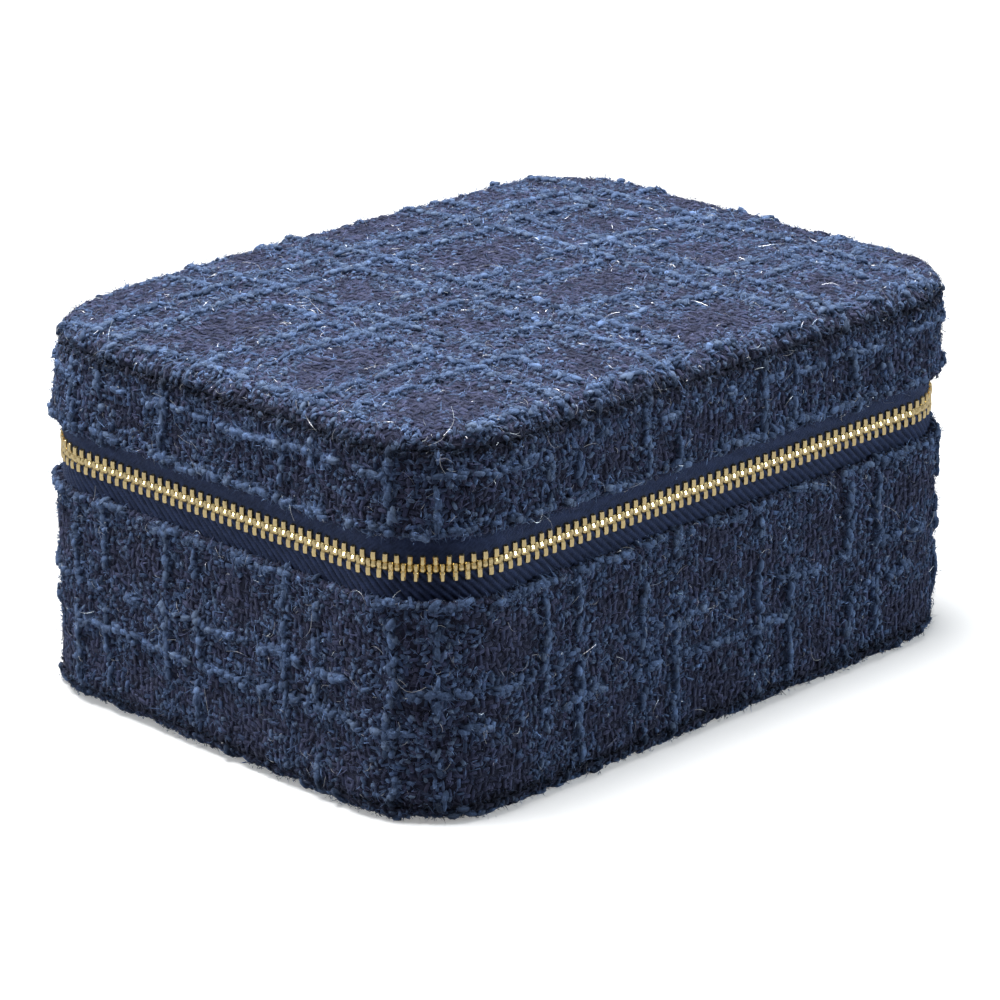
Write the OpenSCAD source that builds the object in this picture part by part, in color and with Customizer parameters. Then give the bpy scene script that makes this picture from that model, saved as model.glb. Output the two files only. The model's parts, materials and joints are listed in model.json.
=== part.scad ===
// Zip-round jewellery case: a stiff cloth-covered base and lid, joined by a
// cloth spine at the back and closed by a metal zip round the other sides.
// Millimetres, +Z up, front towards -Y, centred on X and Y, resting on z = 0.

/* [Case] */
// length of the case along X, over the cloth
body_w = 150; // [136:1:190]
// depth of the case along Y, over the cloth
body_d = 112; // [104:1:150]
// radius of the upright corners, over the cloth
corner_r = 20; // [16:1:26]
// height of the cloth band round the base
base_band_h = 39.1; // [32:0.1:60]
// height of the cloth band round the lid
lid_band_h = 16.2; // [16:0.1:40]
// height of the open gap that the zip runs in
zip_gap = 11.4; // [9.6:0.1:13]
// height of the bottom panel's rolled edge
bottom_roll = 2.5; // [2:0.1:4]
// height of the top panel's rolled edge
top_roll = 3.2; // [2.8:0.1:5]
// rise of the padded top above its rolled edge
top_crown = 1.6; // [0.8:0.1:3]

/* [Layers] */
// thickness of the woven outer cloth with its backing
cover_t = 1.8; // [1.2:0.1:2]
// thickness of the stiffening board
board_t = 2; // [1.5:0.1:3]
// thickness of the suede lining
lining_t = 1; // [0.6:0.1:1.4]
// thickness of the zip tape and of the spine cloth
tape_t = 0.6; // [0.4:0.1:0.7]
// free play left between glued or sewn layers
layer_gap = 0.1; // [0.05:0.05:0.2]

/* [Zip] */
// distance from one tooth to the next on the same tape
tooth_pitch = 2.2; // [2.1:0.1:2.6]
// width of one tooth along the chain
tooth_w = 0.95; // [0.7:0.05:1]
// width of the closed chain across both rows
chain_w = 4.4; // [4:0.1:4.6]
// thickness of a tooth through the tape
tooth_t = 2.2; // [1.8:0.1:2.4]
// how far a tooth's head reaches past the chain's middle
head_reach = 0.5; // [0.3:0.05:0.6]
// distance from the chain's middle to each tape's edge
tape_edge = 0.8; // [0.7:0.05:1]
// height of tape tucked behind each cloth band
tape_tuck = 5.3; // [3:0.5:8]

/* [Slider] */
// length of the slider along the chain
slider_len = 9; // [8:0.5:11]
// thickness of the slider's plates
plate_t = 0.8; // [0.6:0.1:1]
// play between the slider and the teeth and tape
slider_play = 0.2; // [0.15:0.05:0.3]
// gap from the slider to the rims of the linings
rim_clear = 0.5; // [0.3:0.1:1]
// length of the pull tab from its pivot
tab_len = 24; // [18:1:26]
// thickness of the pull tab
tab_t = 1.3; // [1:0.1:1.4]
// radius of the pull tab's pivot bar
pivot_r = 0.5; // [0.4:0.05:0.6]

/* [Inside] */
// diameter of a ring roll
roll_d = 13; // [10:0.5:15]
// number of ring rolls
roll_count = 6; // [3:1:6]
// gap between neighbouring ring rolls
roll_gap = 0.6; // [0.4:0.1:1.5]
// gap from the rolls' ends to the rounded corner of the wall
roll_clear = 2.4; // [1:0.1:4]
// thickness of a divider board in its suede
divider_t = 2; // [1.5:0.1:3]
// length of the mirror
mirror_w = 96; // [60:1:100]
// depth of the mirror
mirror_d = 62; // [40:1:66]
// thickness of the mirror glass
mirror_t = 1.8; // [1.5:0.1:2]
// width of the border round the mirror
mirror_border = 5; // [4:0.5:6]

/* [Hidden] */
$fn = 96;
eps = 0.01;
in_tape = cover_t + layer_gap;
in_board = in_tape + tape_t + layer_gap;
in_lining = in_board + board_t + layer_gap;
in_room = in_lining + lining_t + layer_gap;
chain_in = in_tape + tape_t / 2;
base_edge_z = bottom_roll + base_band_h;
zip_z = base_edge_z + zip_gap / 2;
lid_edge_z = base_edge_z + zip_gap;
seam_z = lid_edge_z + lid_band_h;
top_z = seam_z + top_roll + top_crown;
floor_z = bottom_roll + board_t + layer_gap + lining_t + layer_gap;
crown_steps = 4;
side_y = body_d / 2 - corner_r;
front_x = body_w / 2 - corner_r;
path_r = corner_r - chain_in;
arc_len = path_r * PI / 2;
stop_len = 1.6;
stop_y = side_y - 0.3 - stop_len / 2;
slider_y = stop_y - stop_len / 2 - 0.3 - slider_len / 2;
stop_gap = 0.3 + tooth_w / 2 + stop_len / 2;
stop_half = 1;
stop_turn = acos((path_r - 0.05) / (path_r + stop_half));
chain_lead = arc_len - path_r * stop_turn * PI / 180 - stop_len / 2 - stop_gap;
chain_y1 = slider_y - slider_len / 2 - 0.4 - tooth_w / 2;
chain_len = chain_lead + 2 * side_y + arc_len + 2 * front_x + arc_len + (chain_y1 + side_y);
tooth_count = floor(chain_len / tooth_pitch - 0.5);
chain_x = body_w / 2 - chain_in;
plate_in = tooth_t / 2 + slider_play;
plate_out = plate_in + plate_t;
flange_in = chain_w / 2 + slider_play + 0.1;
flange_t = 0.6;
slider_half = flange_in + flange_t;
board_lip = zip_gap / 2 - slider_half - rim_clear - lining_t - layer_gap;
pivot_n = plate_out + slider_play + tab_t / 2;
bridge_gap = pivot_n + pivot_r + slider_play + 0.1;
bridge_top = bridge_gap + 1;
arm_in = 1.3;
arm_out = 2.4;
arm_len = 6;
divider_x = -3;
cross_y = 9;
split_x = 33;
tray_x0 = -body_w / 2 + in_room + 0.1;
tray_x1 = divider_x - divider_t / 2 - 0.1;
roll_z = floor_z + 14 + roll_d / 2;
roll_step = roll_d + roll_gap;
rolls_half = (roll_count * roll_step - roll_gap) / 2;
room_r = corner_r - in_room;
roll_past = max(rolls_half - side_y, 0);
roll_x0 = min(-front_x - sqrt(max(pow(room_r, 2) - pow(roll_past, 2), 0)) + roll_clear, tray_x1 - 6);
roll_x1 = tray_x1 - 3;
spine_half = front_x - 1;
cloth = "midnightblue";
suede = "slategray";

// where the chain is at length s along it: [x, y, outward direction in degrees]
function along(s) =
  let (l = s - chain_lead)
  let (a = l - 2 * side_y)
  let (b = a - arc_len)
  let (c = b - 2 * front_x)
  let (d = c - arc_len)
  l < 0 ? [-front_x + path_r * cos(180 + l / arc_len * 90), side_y + path_r * sin(180 + l / arc_len * 90), 180 + l / arc_len * 90]
  : a < 0 ? [-chain_x, side_y - l, 180]
  : b < 0 ? [-front_x + path_r * cos(180 + a / arc_len * 90), -side_y + path_r * sin(180 + a / arc_len * 90), 180 + a / arc_len * 90]
  : c < 0 ? [-front_x + b, -body_d / 2 + chain_in, 270]
  : d < 0 ? [front_x + path_r * cos(270 + c / arc_len * 90), -side_y + path_r * sin(270 + c / arc_len * 90), 270 + c / arc_len * 90]
  : [chain_x, -side_y + d, 360];

// outline of the case, moved in by i
module plan(i) {
  w = body_w - 2 * i;
  d = body_d - 2 * i;
  r = max(corner_r - i, 3);
  square([w - 2 * r, d], center = true);
  square([w, d - 2 * r], center = true);
  for (sx = [-1, 1])
    for (sy = [-1, 1])
      translate([sx * (w / 2 - r), sy * (d / 2 - r)])
        circle(r = r);
}

module slab(i, z0, z1) {
  translate([0, 0, z0])
    linear_extrude(height = z1 - z0)
      plan(i);
}

module ring(i0, i1, z0, z1) {
  difference() {
    slab(i0, z0, z1);
    slab(i1, z0 - 1, z1 + 1);
  }
}

// rounded plate with its own size
module plate(w, d, r, z0, z1) {
  translate([0, 0, z0])
    linear_extrude(height = z1 - z0) {
      square([w - 2 * r, d], center = true);
      square([w, d - 2 * r], center = true);
      for (sx = [-1, 1])
        for (sy = [-1, 1])
          translate([sx * (w / 2 - r), sy * (d / 2 - r)])
            circle(r = r);
    }
}

// padded top's shape, moved in by i and down by drop: each step rises less
module crown(i, drop) {
  slab(0.5 + i, seam_z, seam_z + top_roll / 2 - drop / 3);
  slab(1.4 + i, seam_z, seam_z + top_roll - drop);
  for (k = [1 : crown_steps])
    slab(1.4 + i + 34 * pow(k / crown_steps, 1.6), seam_z, seam_z + top_roll + top_crown * k / crown_steps - drop);
}

module base_bottom_cover() {
  color(cloth) {
    slab(2.2, 0, bottom_roll / 2);
    slab(0.6, bottom_roll / 2 - eps, bottom_roll - layer_gap);
  }
}

module base_floor_board() {
  color("tan")
    slab(in_lining, bottom_roll, bottom_roll + board_t);
}

module base_wall_board() {
  color("tan")
    ring(in_board, in_board + board_t, bottom_roll, base_edge_z + board_lip);
}

module base_side_cover() {
  color(cloth)
    ring(0, cover_t, bottom_roll, base_edge_z);
}

// lining of the wall, turned out over the top of the board
module base_wall_lining() {
  color(suede) {
    ring(in_lining, in_lining + lining_t, bottom_roll + board_t + layer_gap, base_edge_z + board_lip + layer_gap + lining_t);
    ring(in_board, in_lining + lining_t, base_edge_z + board_lip + layer_gap, base_edge_z + board_lip + layer_gap + lining_t);
  }
}

module base_floor_lining() {
  color(suede)
    slab(in_room, bottom_roll + board_t + layer_gap, floor_z - layer_gap);
}

// soft block with a trough that the ring rolls lie in
module ring_tray() {
  color(suede)
    difference() {
      intersection() {
        slab(in_room + 0.1, floor_z, roll_z);
        translate([tray_x0, -body_d / 2, 0])
          cube([tray_x1 - tray_x0, body_d, roll_z + 1]);
      }
      translate([roll_x0 - 0.4, -rolls_half - 0.4, roll_z - roll_d / 2])
        cube([roll_x1 - roll_x0 + 0.8, 2 * rolls_half + 0.8, roll_d]);
    }
}

module ring_roll(k) {
  color(suede)
    if (k < roll_count)
      translate([roll_x0, -rolls_half + roll_d / 2 + k * roll_step, roll_z])
        rotate([0, 90, 0])
          cylinder(d = roll_d, h = roll_x1 - roll_x0, $fn = 64);
}

module ring_roll_1() {
  ring_roll(0);
}

module ring_roll_2() {
  ring_roll(1);
}

module ring_roll_3() {
  ring_roll(2);
}

module ring_roll_4() {
  ring_roll(3);
}

module ring_roll_5() {
  ring_roll(4);
}

module ring_roll_6() {
  ring_roll(5);
}

module divider_long() {
  color(suede)
    intersection() {
      slab(in_room + 0.1, floor_z, base_edge_z - 4);
      translate([divider_x - divider_t / 2, -body_d / 2, 0])
        cube([divider_t, body_d, base_edge_z]);
    }
}

module divider_cross() {
  color(suede)
    intersection() {
      slab(in_room + 0.1, floor_z, base_edge_z - 8);
      translate([divider_x + divider_t / 2 + 0.1, cross_y - divider_t / 2, 0])
        cube([body_w, divider_t, base_edge_z]);
    }
}

module divider_short() {
  color(suede)
    intersection() {
      slab(in_room + 0.1, floor_z, base_edge_z - 8);
      translate([split_x - divider_t / 2, cross_y + divider_t / 2 + 0.1, 0])
        cube([divider_t, body_d, base_edge_z]);
    }
}

// zip tape round the left, front and right sides and the two rear corners
module zip_tape(z0, z1) {
  color("darkslateblue")
    difference() {
      ring(in_tape, in_tape + tape_t, z0, z1);
      translate([-spine_half - 0.5, 0, z0 - 1])
        cube([2 * spine_half + 1, body_d, z1 - z0 + 2]);
    }
}

module zip_tape_lower() {
  zip_tape(base_edge_z - tape_tuck, zip_z - tape_edge);
}

module zip_tape_upper() {
  zip_tape(zip_z + tape_edge, lid_edge_z + tape_tuck);
}

// side view of a tooth clenched over the tape's edge; up is -1 or 1
module tooth_shape(up) {
  t = tooth_t / 2;
  g = tape_t / 2 + 0.05;
  e = tape_edge - 0.05;
  polygon([
    [-t, up * chain_w / 2],
    [-g, up * chain_w / 2],
    [-g, up * e],
    [g, up * e],
    [g, up * chain_w / 2],
    [t, up * chain_w / 2],
    [t, -up * (head_reach - 0.3)],
    [t - 0.3, -up * head_reach],
    [0.3 - t, -up * head_reach],
    [-t, -up * (head_reach - 0.3)]
  ]);
}

module teeth(up) {
  color("goldenrod")
    for (k = [0 : tooth_count - 1]) {
      at = along((k + (up > 0 ? 0.5 : 0)) * tooth_pitch);
      translate([at[0], at[1], zip_z])
        rotate([90, 0, at[2]])
          linear_extrude(height = tooth_w, center = true)
            tooth_shape(up);
    }
}

module zip_teeth_lower() {
  teeth(-1);
}

module zip_teeth_upper() {
  teeth(1);
}

// end stops clenched on one tape at both ends of the chain, the first of
// them wholly in front of the lid's hinge line so that the pair part freely
module stops(up) {
  color("goldenrod")
    for (at = [along(-stop_gap), [chain_x, stop_y, 360]])
      translate([at[0], at[1], zip_z])
        rotate([90, 0, at[2]])
          linear_extrude(height = stop_len, center = true)
            polygon([
              [-stop_half, up * chain_w / 2],
              [-tape_t / 2 - 0.05, up * chain_w / 2],
              [-tape_t / 2 - 0.05, up * (tape_edge - 0.05)],
              [tape_t / 2 + 0.05, up * (tape_edge - 0.05)],
              [tape_t / 2 + 0.05, up * chain_w / 2],
              [stop_half, up * chain_w / 2],
              [stop_half, up * 0.2],
              [-stop_half, up * 0.2]
            ]);
}

module zip_stops_lower() {
  stops(-1);
}

module zip_stops_upper() {
  stops(1);
}

// cloth strip that joins the lid to the base and bends at the zip's height
module hinge_spine() {
  color(cloth)
    translate([-spine_half, body_d / 2 - in_tape - tape_t, base_edge_z - tape_tuck])
      cube([2 * spine_half, tape_t, zip_gap + 2 * tape_tuck]);
}

module lid_side_cover() {
  color(cloth)
    ring(0, cover_t, lid_edge_z, seam_z);
}

module lid_wall_board() {
  color("tan")
    ring(in_board, in_board + board_t, lid_edge_z - board_lip, seam_z - board_t);
}

module lid_top_board() {
  color("tan")
    slab(in_board, seam_z - board_t, seam_z);
}

module lid_foam() {
  color("white")
    crown(in_board - 0.5, cover_t);
}

// padded top panel with its edge rolled down to the seam
module lid_top_cover() {
  color(cloth)
    difference() {
      intersection() {
        crown(0, 0);
        translate([-body_w, -body_d, seam_z + layer_gap])
          cube([2 * body_w, 2 * body_d, top_roll + top_crown]);
      }
      crown(in_board - 0.5 - layer_gap, cover_t - layer_gap);
    }
}

// lining of the lid's wall, turned out under the edge of the board
module lid_wall_lining() {
  color(suede) {
    ring(in_lining, in_lining + lining_t, lid_edge_z - board_lip - layer_gap - lining_t, seam_z - board_t - layer_gap);
    ring(in_board, in_lining + lining_t, lid_edge_z - board_lip - layer_gap - lining_t, lid_edge_z - board_lip - layer_gap);
  }
}

module lid_top_lining() {
  color(suede)
    slab(in_room, seam_z - board_t - layer_gap - lining_t, seam_z - board_t - layer_gap);
}

// soft border that holds the mirror against the lid's lining
module mirror_frame() {
  z1 = seam_z - board_t - 2 * layer_gap - lining_t;
  w = mirror_w + 2 * mirror_border;
  d = mirror_d + 2 * mirror_border;
  color(suede)
    difference() {
      plate(w, d, 8, z1 - mirror_t - 0.7, z1);
      plate(mirror_w + 0.6, mirror_d + 0.6, 4.3, z1 - mirror_t - 0.1, z1 + 1);
      plate(mirror_w - 4, mirror_d - 4, 3, z1 - mirror_t - 2, z1);
    }
}

module mirror_glass() {
  z1 = seam_z - board_t - 2 * layer_gap - lining_t;
  color("lightblue")
    plate(mirror_w, mirror_d, 4, z1 - mirror_t, z1);
}

// outline of a slider plate, wide at the nose and narrow at the tail
module slider_outline(grow) {
  tail = slider_half;
  h = slider_len / 2;
  polygon([
    [-h, -tail - grow],
    [h * 0.25, -tail - 0.5 - grow],
    [h * 0.75, -tail - grow],
    [h, -tail + 1.2 - grow],
    [h, tail - 1.2 + grow],
    [h * 0.75, tail + grow],
    [h * 0.25, tail + 0.5 + grow],
    [-h, tail + grow]
  ]);
}

// moves a shape drawn as [along chain, up] to the parked slider, n outward
module on_slider(n0, n1) {
  translate([chain_x + n0, slider_y, zip_z])
    rotate([90, 0, 90])
      linear_extrude(height = n1 - n0)
        children();
}

module slider_body() {
  slot = tape_t / 2 + slider_play;
  color("goldenrod")
    union() {
      on_slider(plate_in, plate_out)
        slider_outline(0);
      on_slider(-plate_out, -plate_in)
        slider_outline(0);
      for (side = [-1, 1])
        on_slider(side > 0 ? slot : -plate_in - eps, side > 0 ? plate_in + eps : -slot)
          difference() {
            slider_outline(0);
            slider_outline(-flange_t);
            translate([slider_len / 2 * 0.8, -10])
              square([10, 20]);
            translate([-slider_len / 2 - 10, -10])
              square([10 + eps, 20]);
          }
      on_slider(-plate_in - eps, plate_in + eps)
        translate([slider_len / 2 - 2.4, -0.6])
          square([1.8, 1.2]);
    }
}

// arch on the slider's face that the pull tab's bar passes under
module slider_bridge() {
  color("goldenrod")
    translate([chain_x, slider_y, zip_z - 0.8])
      linear_extrude(height = 1.6)
        polygon([
          [plate_out, -3.4],
          [bridge_gap, -3.4],
          [bridge_top, -2.4],
          [bridge_top, 2.4],
          [bridge_gap, 3.4],
          [plate_out, 3.4],
          [plate_out, 2.4],
          [bridge_gap - 0.4, 2.4],
          [bridge_gap, 2],
          [bridge_gap, -2],
          [bridge_gap - 0.4, -2.4],
          [plate_out, -2.4]
        ]);
}

// tab that points to the front along the chain and turns about its upright bar
module pull_tab() {
  color("goldenrod")
    translate([chain_x + pivot_n, slider_y, zip_z]) {
      translate([0, 0, -arm_out])
        cylinder(r = pivot_r, h = 2 * arm_out, $fn = 32);
      for (up = [-1, 1])
        translate([0, 0, up > 0 ? arm_in : -arm_out])
          cylinder(d = tab_t, h = arm_out - arm_in, $fn = 32);
      translate([-tab_t / 2, 0, 0])
        rotate([90, 0, 90])
          linear_extrude(height = tab_t)
            difference() {
              union() {
                polygon([
                  [0, -arm_out],
                  [-arm_len, -arm_out],
                  [3.4 - tab_len, -3.4],
                  [3.4 - tab_len, 3.4],
                  [-arm_len, arm_out],
                  [0, arm_out]
                ]);
                translate([3.4 - tab_len, 0])
                  circle(r = 3.4, $fn = 64);
              }
              translate([-arm_len, -arm_in])
                square([arm_len + 1, 2 * arm_in]);
            }
    }
}

base_bottom_cover();
base_floor_board();
base_wall_board();
base_side_cover();
base_wall_lining();
base_floor_lining();
ring_tray();
ring_roll_1();
ring_roll_2();
ring_roll_3();
ring_roll_4();
ring_roll_5();
ring_roll_6();
divider_long();
divider_cross();
divider_short();
zip_tape_lower();
zip_teeth_lower();
zip_stops_lower();
hinge_spine();
lid_side_cover();
lid_wall_board();
lid_top_board();
lid_foam();
lid_top_cover();
lid_wall_lining();
lid_top_lining();
mirror_frame();
mirror_glass();
zip_tape_upper();
zip_teeth_upper();
zip_stops_upper();
slider_body();
slider_bridge();
pull_tab();
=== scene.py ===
import json
from math import cos, pi, radians, sin

import bmesh
import bpy
import numpy as np
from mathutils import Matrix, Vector


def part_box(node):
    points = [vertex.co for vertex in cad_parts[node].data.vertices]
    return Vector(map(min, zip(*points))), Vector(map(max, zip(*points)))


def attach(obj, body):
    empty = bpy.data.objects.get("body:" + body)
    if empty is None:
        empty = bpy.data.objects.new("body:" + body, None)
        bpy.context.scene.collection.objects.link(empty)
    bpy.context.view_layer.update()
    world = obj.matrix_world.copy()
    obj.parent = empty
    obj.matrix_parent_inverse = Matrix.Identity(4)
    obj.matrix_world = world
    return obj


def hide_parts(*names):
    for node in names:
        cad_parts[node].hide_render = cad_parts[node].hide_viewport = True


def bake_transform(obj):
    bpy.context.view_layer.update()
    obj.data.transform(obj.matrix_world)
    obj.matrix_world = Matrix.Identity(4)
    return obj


bl_info = {
    "name": "Tweed jewellery case",
    "version": (1, 0, 0),
    "blender": (4, 5, 0),
    "location": "View3D > Sidebar > Case",
    "description": "Builds the zip-round tweed jewellery case on its CAD frame",
    "category": "Object",
}

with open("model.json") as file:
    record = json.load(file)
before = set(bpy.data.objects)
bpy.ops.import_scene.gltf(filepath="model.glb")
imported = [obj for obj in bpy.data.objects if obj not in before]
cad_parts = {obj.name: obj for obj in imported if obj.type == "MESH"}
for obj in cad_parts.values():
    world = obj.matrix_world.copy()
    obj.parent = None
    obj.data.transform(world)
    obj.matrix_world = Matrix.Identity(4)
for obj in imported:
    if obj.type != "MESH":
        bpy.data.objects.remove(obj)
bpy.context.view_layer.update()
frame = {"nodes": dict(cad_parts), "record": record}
MM = 0.001


# ---------------------------------------------------------------- sizes


def box_mm(node):
    """Lowest and highest corners of a CAD node, in millimetres, as arrays."""
    lo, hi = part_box(node)
    return np.array(lo) / MM, np.array(hi) / MM


BASE_LO, BASE_HI = box_mm("base_side_cover")
LID_LO, LID_HI = box_mm("lid_side_cover")
TOP_LO, TOP_HI = box_mm("lid_top_cover")
_, BOTTOM_HI = box_mm("base_bottom_cover")
TAPE_LO, _ = box_mm("zip_tape_lower")
SPINE_LO, SPINE_HI = box_mm("hinge_spine")
HINGE = next(j for j in frame["record"]["behaviour"]["joints"] if j["name"] == "lid_hinge")
HINGE_Y, ZIP_Z = (value / MM for value in HINGE["pos_m"][1:])

# the spine stops this far short of each corner, and the tapes lie this far
# behind the inner face of the cloth
SPINE_SHORT = 1.0
TAPE_BEHIND = 0.1

CASE_W = BASE_HI[0] - BASE_LO[0]
CASE_D = BASE_HI[1] - BASE_LO[1]
CORNER_R = CASE_W / 2 - SPINE_HI[0] - SPINE_SHORT
COVER_T = TAPE_LO[0] - BASE_LO[0] - TAPE_BEHIND
TAPE_T = SPINE_HI[1] - SPINE_LO[1]
# the chain's line runs this far inside the case's plan
CHAIN_IN = CASE_D / 2 - HINGE_Y
# lowest height of the yarn, which the case's weight presses flat underneath
PRESSED = 0.02


# ---------------------------------------------------------------- settings


class CaseClothSettings(bpy.types.PropertyGroup):
    """Colours and weave sizes of the outer cloth."""

    ground: bpy.props.FloatVectorProperty(
        name="Ground yarn", description="Colour of the dark looped yarn",
        subtype="COLOR", size=3, min=0, max=1, default=(0.066, 0.072, 0.134))
    cord: bpy.props.FloatVectorProperty(
        name="Chenille cord", description="Colour of the raised checks",
        subtype="COLOR", size=3, min=0, max=1, default=(0.102, 0.156, 0.288))
    glint: bpy.props.FloatVectorProperty(
        name="Metal thread", description="Colour of the loose metallic threads",
        subtype="COLOR", size=3, min=0, max=1, default=(0.80, 0.82, 0.86))
    yarn_pitch: bpy.props.FloatProperty(
        name="Yarn pitch", description="Distance between ground yarns",
        unit="LENGTH", default=0.00145, min=0.0008, max=0.003)
    cord_half: bpy.props.FloatProperty(
        name="Cord half width", description="Half the width of a chenille cord",
        unit="LENGTH", default=0.00115, min=0.0005, max=0.002)
    fibres: bpy.props.FloatProperty(
        name="Fibre density", description="Share of the full number of loose fibres",
        default=1.0, min=0.0, max=1.5)


class CaseTrimSettings(bpy.types.PropertyGroup):
    """Colours of the zip and the inside."""

    brass: bpy.props.FloatVectorProperty(
        name="Zip metal", description="Colour of the teeth, slider and pull",
        subtype="COLOR", size=3, min=0, max=1, default=(0.87, 0.68, 0.34))
    tape: bpy.props.FloatVectorProperty(
        name="Zip tape", description="Colour of the ribbed tape",
        subtype="COLOR", size=3, min=0, max=1, default=(0.024, 0.036, 0.088))
    suede: bpy.props.FloatVectorProperty(
        name="Suede", description="Colour of the lining, rolls and dividers",
        subtype="COLOR", size=3, min=0, max=1, default=(0.15, 0.18, 0.27))


# ---------------------------------------------------------------- numbers


LATTICE = 256


def lattice(seed):
    """A square table of random values in 0..1."""
    return np.random.default_rng(seed).random((LATTICE, LATTICE))


def grain(u, v, seed):
    """Smooth noise in 0..1: random values on a unit lattice, blended with
    3t^2 - 2t^3 between the four corners of each cell."""
    table = lattice(seed)
    n = LATTICE
    iu = np.floor(u).astype(int)
    iv = np.floor(v).astype(int)
    tu = u - iu
    tv = v - iv
    tu = tu * tu * (3 - 2 * tu)
    tv = tv * tv * (3 - 2 * tv)
    a = table[iu % n, iv % n]
    b = table[(iu + 1) % n, iv % n]
    c = table[iu % n, (iv + 1) % n]
    d = table[(iu + 1) % n, (iv + 1) % n]
    return (a * (1 - tu) + b * tu) * (1 - tv) + (c * (1 - tu) + d * tu) * tv


def soft_step(x, lo, hi):
    """0 below lo, 1 above hi, 3t^2 - 2t^3 between."""
    t = np.clip((x - lo) / (hi - lo), 0, 1)
    return t * t * (3 - 2 * t)


def unit(vectors):
    """The vectors scaled to length 1."""
    return vectors / np.maximum(np.linalg.norm(vectors, axis=-1, keepdims=True), 1e-9)


def cord_places(start, steps, gap, low, high):
    """Centres of chenille cords: pairs `gap` apart, the pairs following each
    other by the step lengths in turn, from start, between low and high."""
    over_edge = 3
    places = []
    at = start
    k = 0
    while at < high + over_edge + gap:
        places += [at - gap / 2, at + gap / 2]
        at += steps[k % len(steps)]
        k += 1
    return [p for p in places if low - over_edge < p < high + over_edge]


def cord_wander(along, k, seed):
    """Sideways wander (mm) of cord k at a distance along it: two octaves of
    smooth noise."""
    line = np.full_like(along, k * 3.7)
    slow = 1.3 * (grain(along / 6.5, line, seed + 10) - 0.5)
    return slow + 0.7 * (grain(along / 1.7, line, seed + 11) - 0.5)


def cord_shows(along, k, seed, share):
    """1 where cord k floats on the face of the cloth and 0 where it runs
    underneath: noise along it against a limit."""
    line = np.full_like(along, k * 8.1)
    noise = 0.7 * grain(along / 3.6, line, seed + 13) + 0.3 * grain(along / 1.2, line, seed + 14)
    hidden = 0.60 - 0.42 * share
    shown = 0.70 - 0.42 * share
    return soft_step(noise, hidden, shown)


def each_cord(cords, u, v, seed):
    """Yields for every cord whether it is upright, the distance across from
    its straight place and from its wandering centre, the distance along it,
    and where it shows."""
    for places, upright, cover in cords:
        across, along = (u, v) if upright else (v, u)
        for k, place in enumerate(places):
            index = k + (0 if upright else 50)
            beside = across - place
            off = beside - cord_wander(along, index, seed)
            yield upright, beside, off, along, cord_shows(along, index, seed, cover)


def tweed(u, v, cords, seed, cloth):
    """Height (mm), colour, cord share and nearness to a cord of the cloth's
    foundation at (u, v).

    Slow noise for the hand of the cloth, finer noise for its packing, and a
    low ridge sqrt(1 - d^2) under each cord that shows, where d is the
    distance to the cord's wandering centre over its half width. Nearness is
    a bell exp(-(b/5)^2) of the distance b from the cord's straight place."""
    half = cloth.cord_half / MM
    # the foundation lies in the shade of the yarn
    ground_shade, cord_shade = 0.42, 0.50
    slow = grain(u / 2.4, v / 2.4, seed + 5) - 0.5
    packing = grain(u / 0.9, v / 0.9, seed + 4) - 0.5
    share = np.zeros(u.shape)
    near = np.zeros(u.shape)
    for _, beside, off, _, shows in each_cord(cords, u, v, seed):
        ridge = np.sqrt(np.clip(1 - (off / half) ** 2, 0, 1))
        share = np.maximum(share, ridge * shows)
        near = np.maximum(near, np.exp(-(beside / 5.0) ** 2))
    height = 0.40 * slow + 0.30 * packing + 0.45 * share
    tone = (0.6 + 0.8 * grain(u / 0.7, v / 0.7, seed + 80))[..., None]
    mask = np.clip(share * 1.4, 0, 1)[..., None]
    colour = np.array(cloth.ground) * ground_shade * (1 - mask)
    colour = (colour + np.array(cloth.cord) * cord_shade * mask) * tone
    return height, colour, share, near


# ---------------------------------------------------------------- surfaces


def outline(u, inset=0.0):
    """Point and outward normal of the case's rounded plan at distance u along
    it (mm), from the middle of the back, round by the left, front and right.
    Straight runs move along the side; corners are quarter circles of the
    corner radius. inset moves the point in along the normal."""
    r = CORNER_R
    cx = CASE_W / 2 - r
    cy = CASE_D / 2 - r
    q = r * pi / 2
    # length, start, direction, angle of the normal and a corner's centre
    runs = [
        (cx, (0, cy + r), (-1, 0), 90, None),
        (q, None, None, 90, (-cx, cy)),
        (2 * cy, (-cx - r, cy), (0, -1), 180, None),
        (q, None, None, 180, (-cx, -cy)),
        (2 * cx, (-cx, -cy - r), (1, 0), 270, None),
        (q, None, None, 270, (cx, -cy)),
        (2 * cy, (cx + r, -cy), (0, 1), 0, None),
        (q, None, None, 0, (cx, cy)),
        (cx, (cx, cy + r), (-1, 0), 90, None),
    ]
    x = np.zeros_like(u)
    y = np.zeros_like(u)
    a = np.zeros_like(u)
    at = 0.0
    for length, start, way, angle, centre in runs:
        m = (u >= at - 1e-9) & (u <= at + length + 1e-9)
        t = u[m] - at
        if centre is None:
            x[m] = start[0] + way[0] * t
            y[m] = start[1] + way[1] * t
            a[m] = radians(angle)
        else:
            b = radians(angle) + t / r
            x[m] = centre[0] + r * np.cos(b)
            y[m] = centre[1] + r * np.sin(b)
            a[m] = b
        at += length
    nx = np.cos(a)
    ny = np.sin(a)
    return x - nx * inset, y - ny * inset, nx, ny


def outline_length():
    """Length (mm) of the case's rounded plan."""
    r = CORNER_R
    return 2 * (CASE_W - 2 * r) + 2 * (CASE_D - 2 * r) + 2 * pi * r


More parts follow.
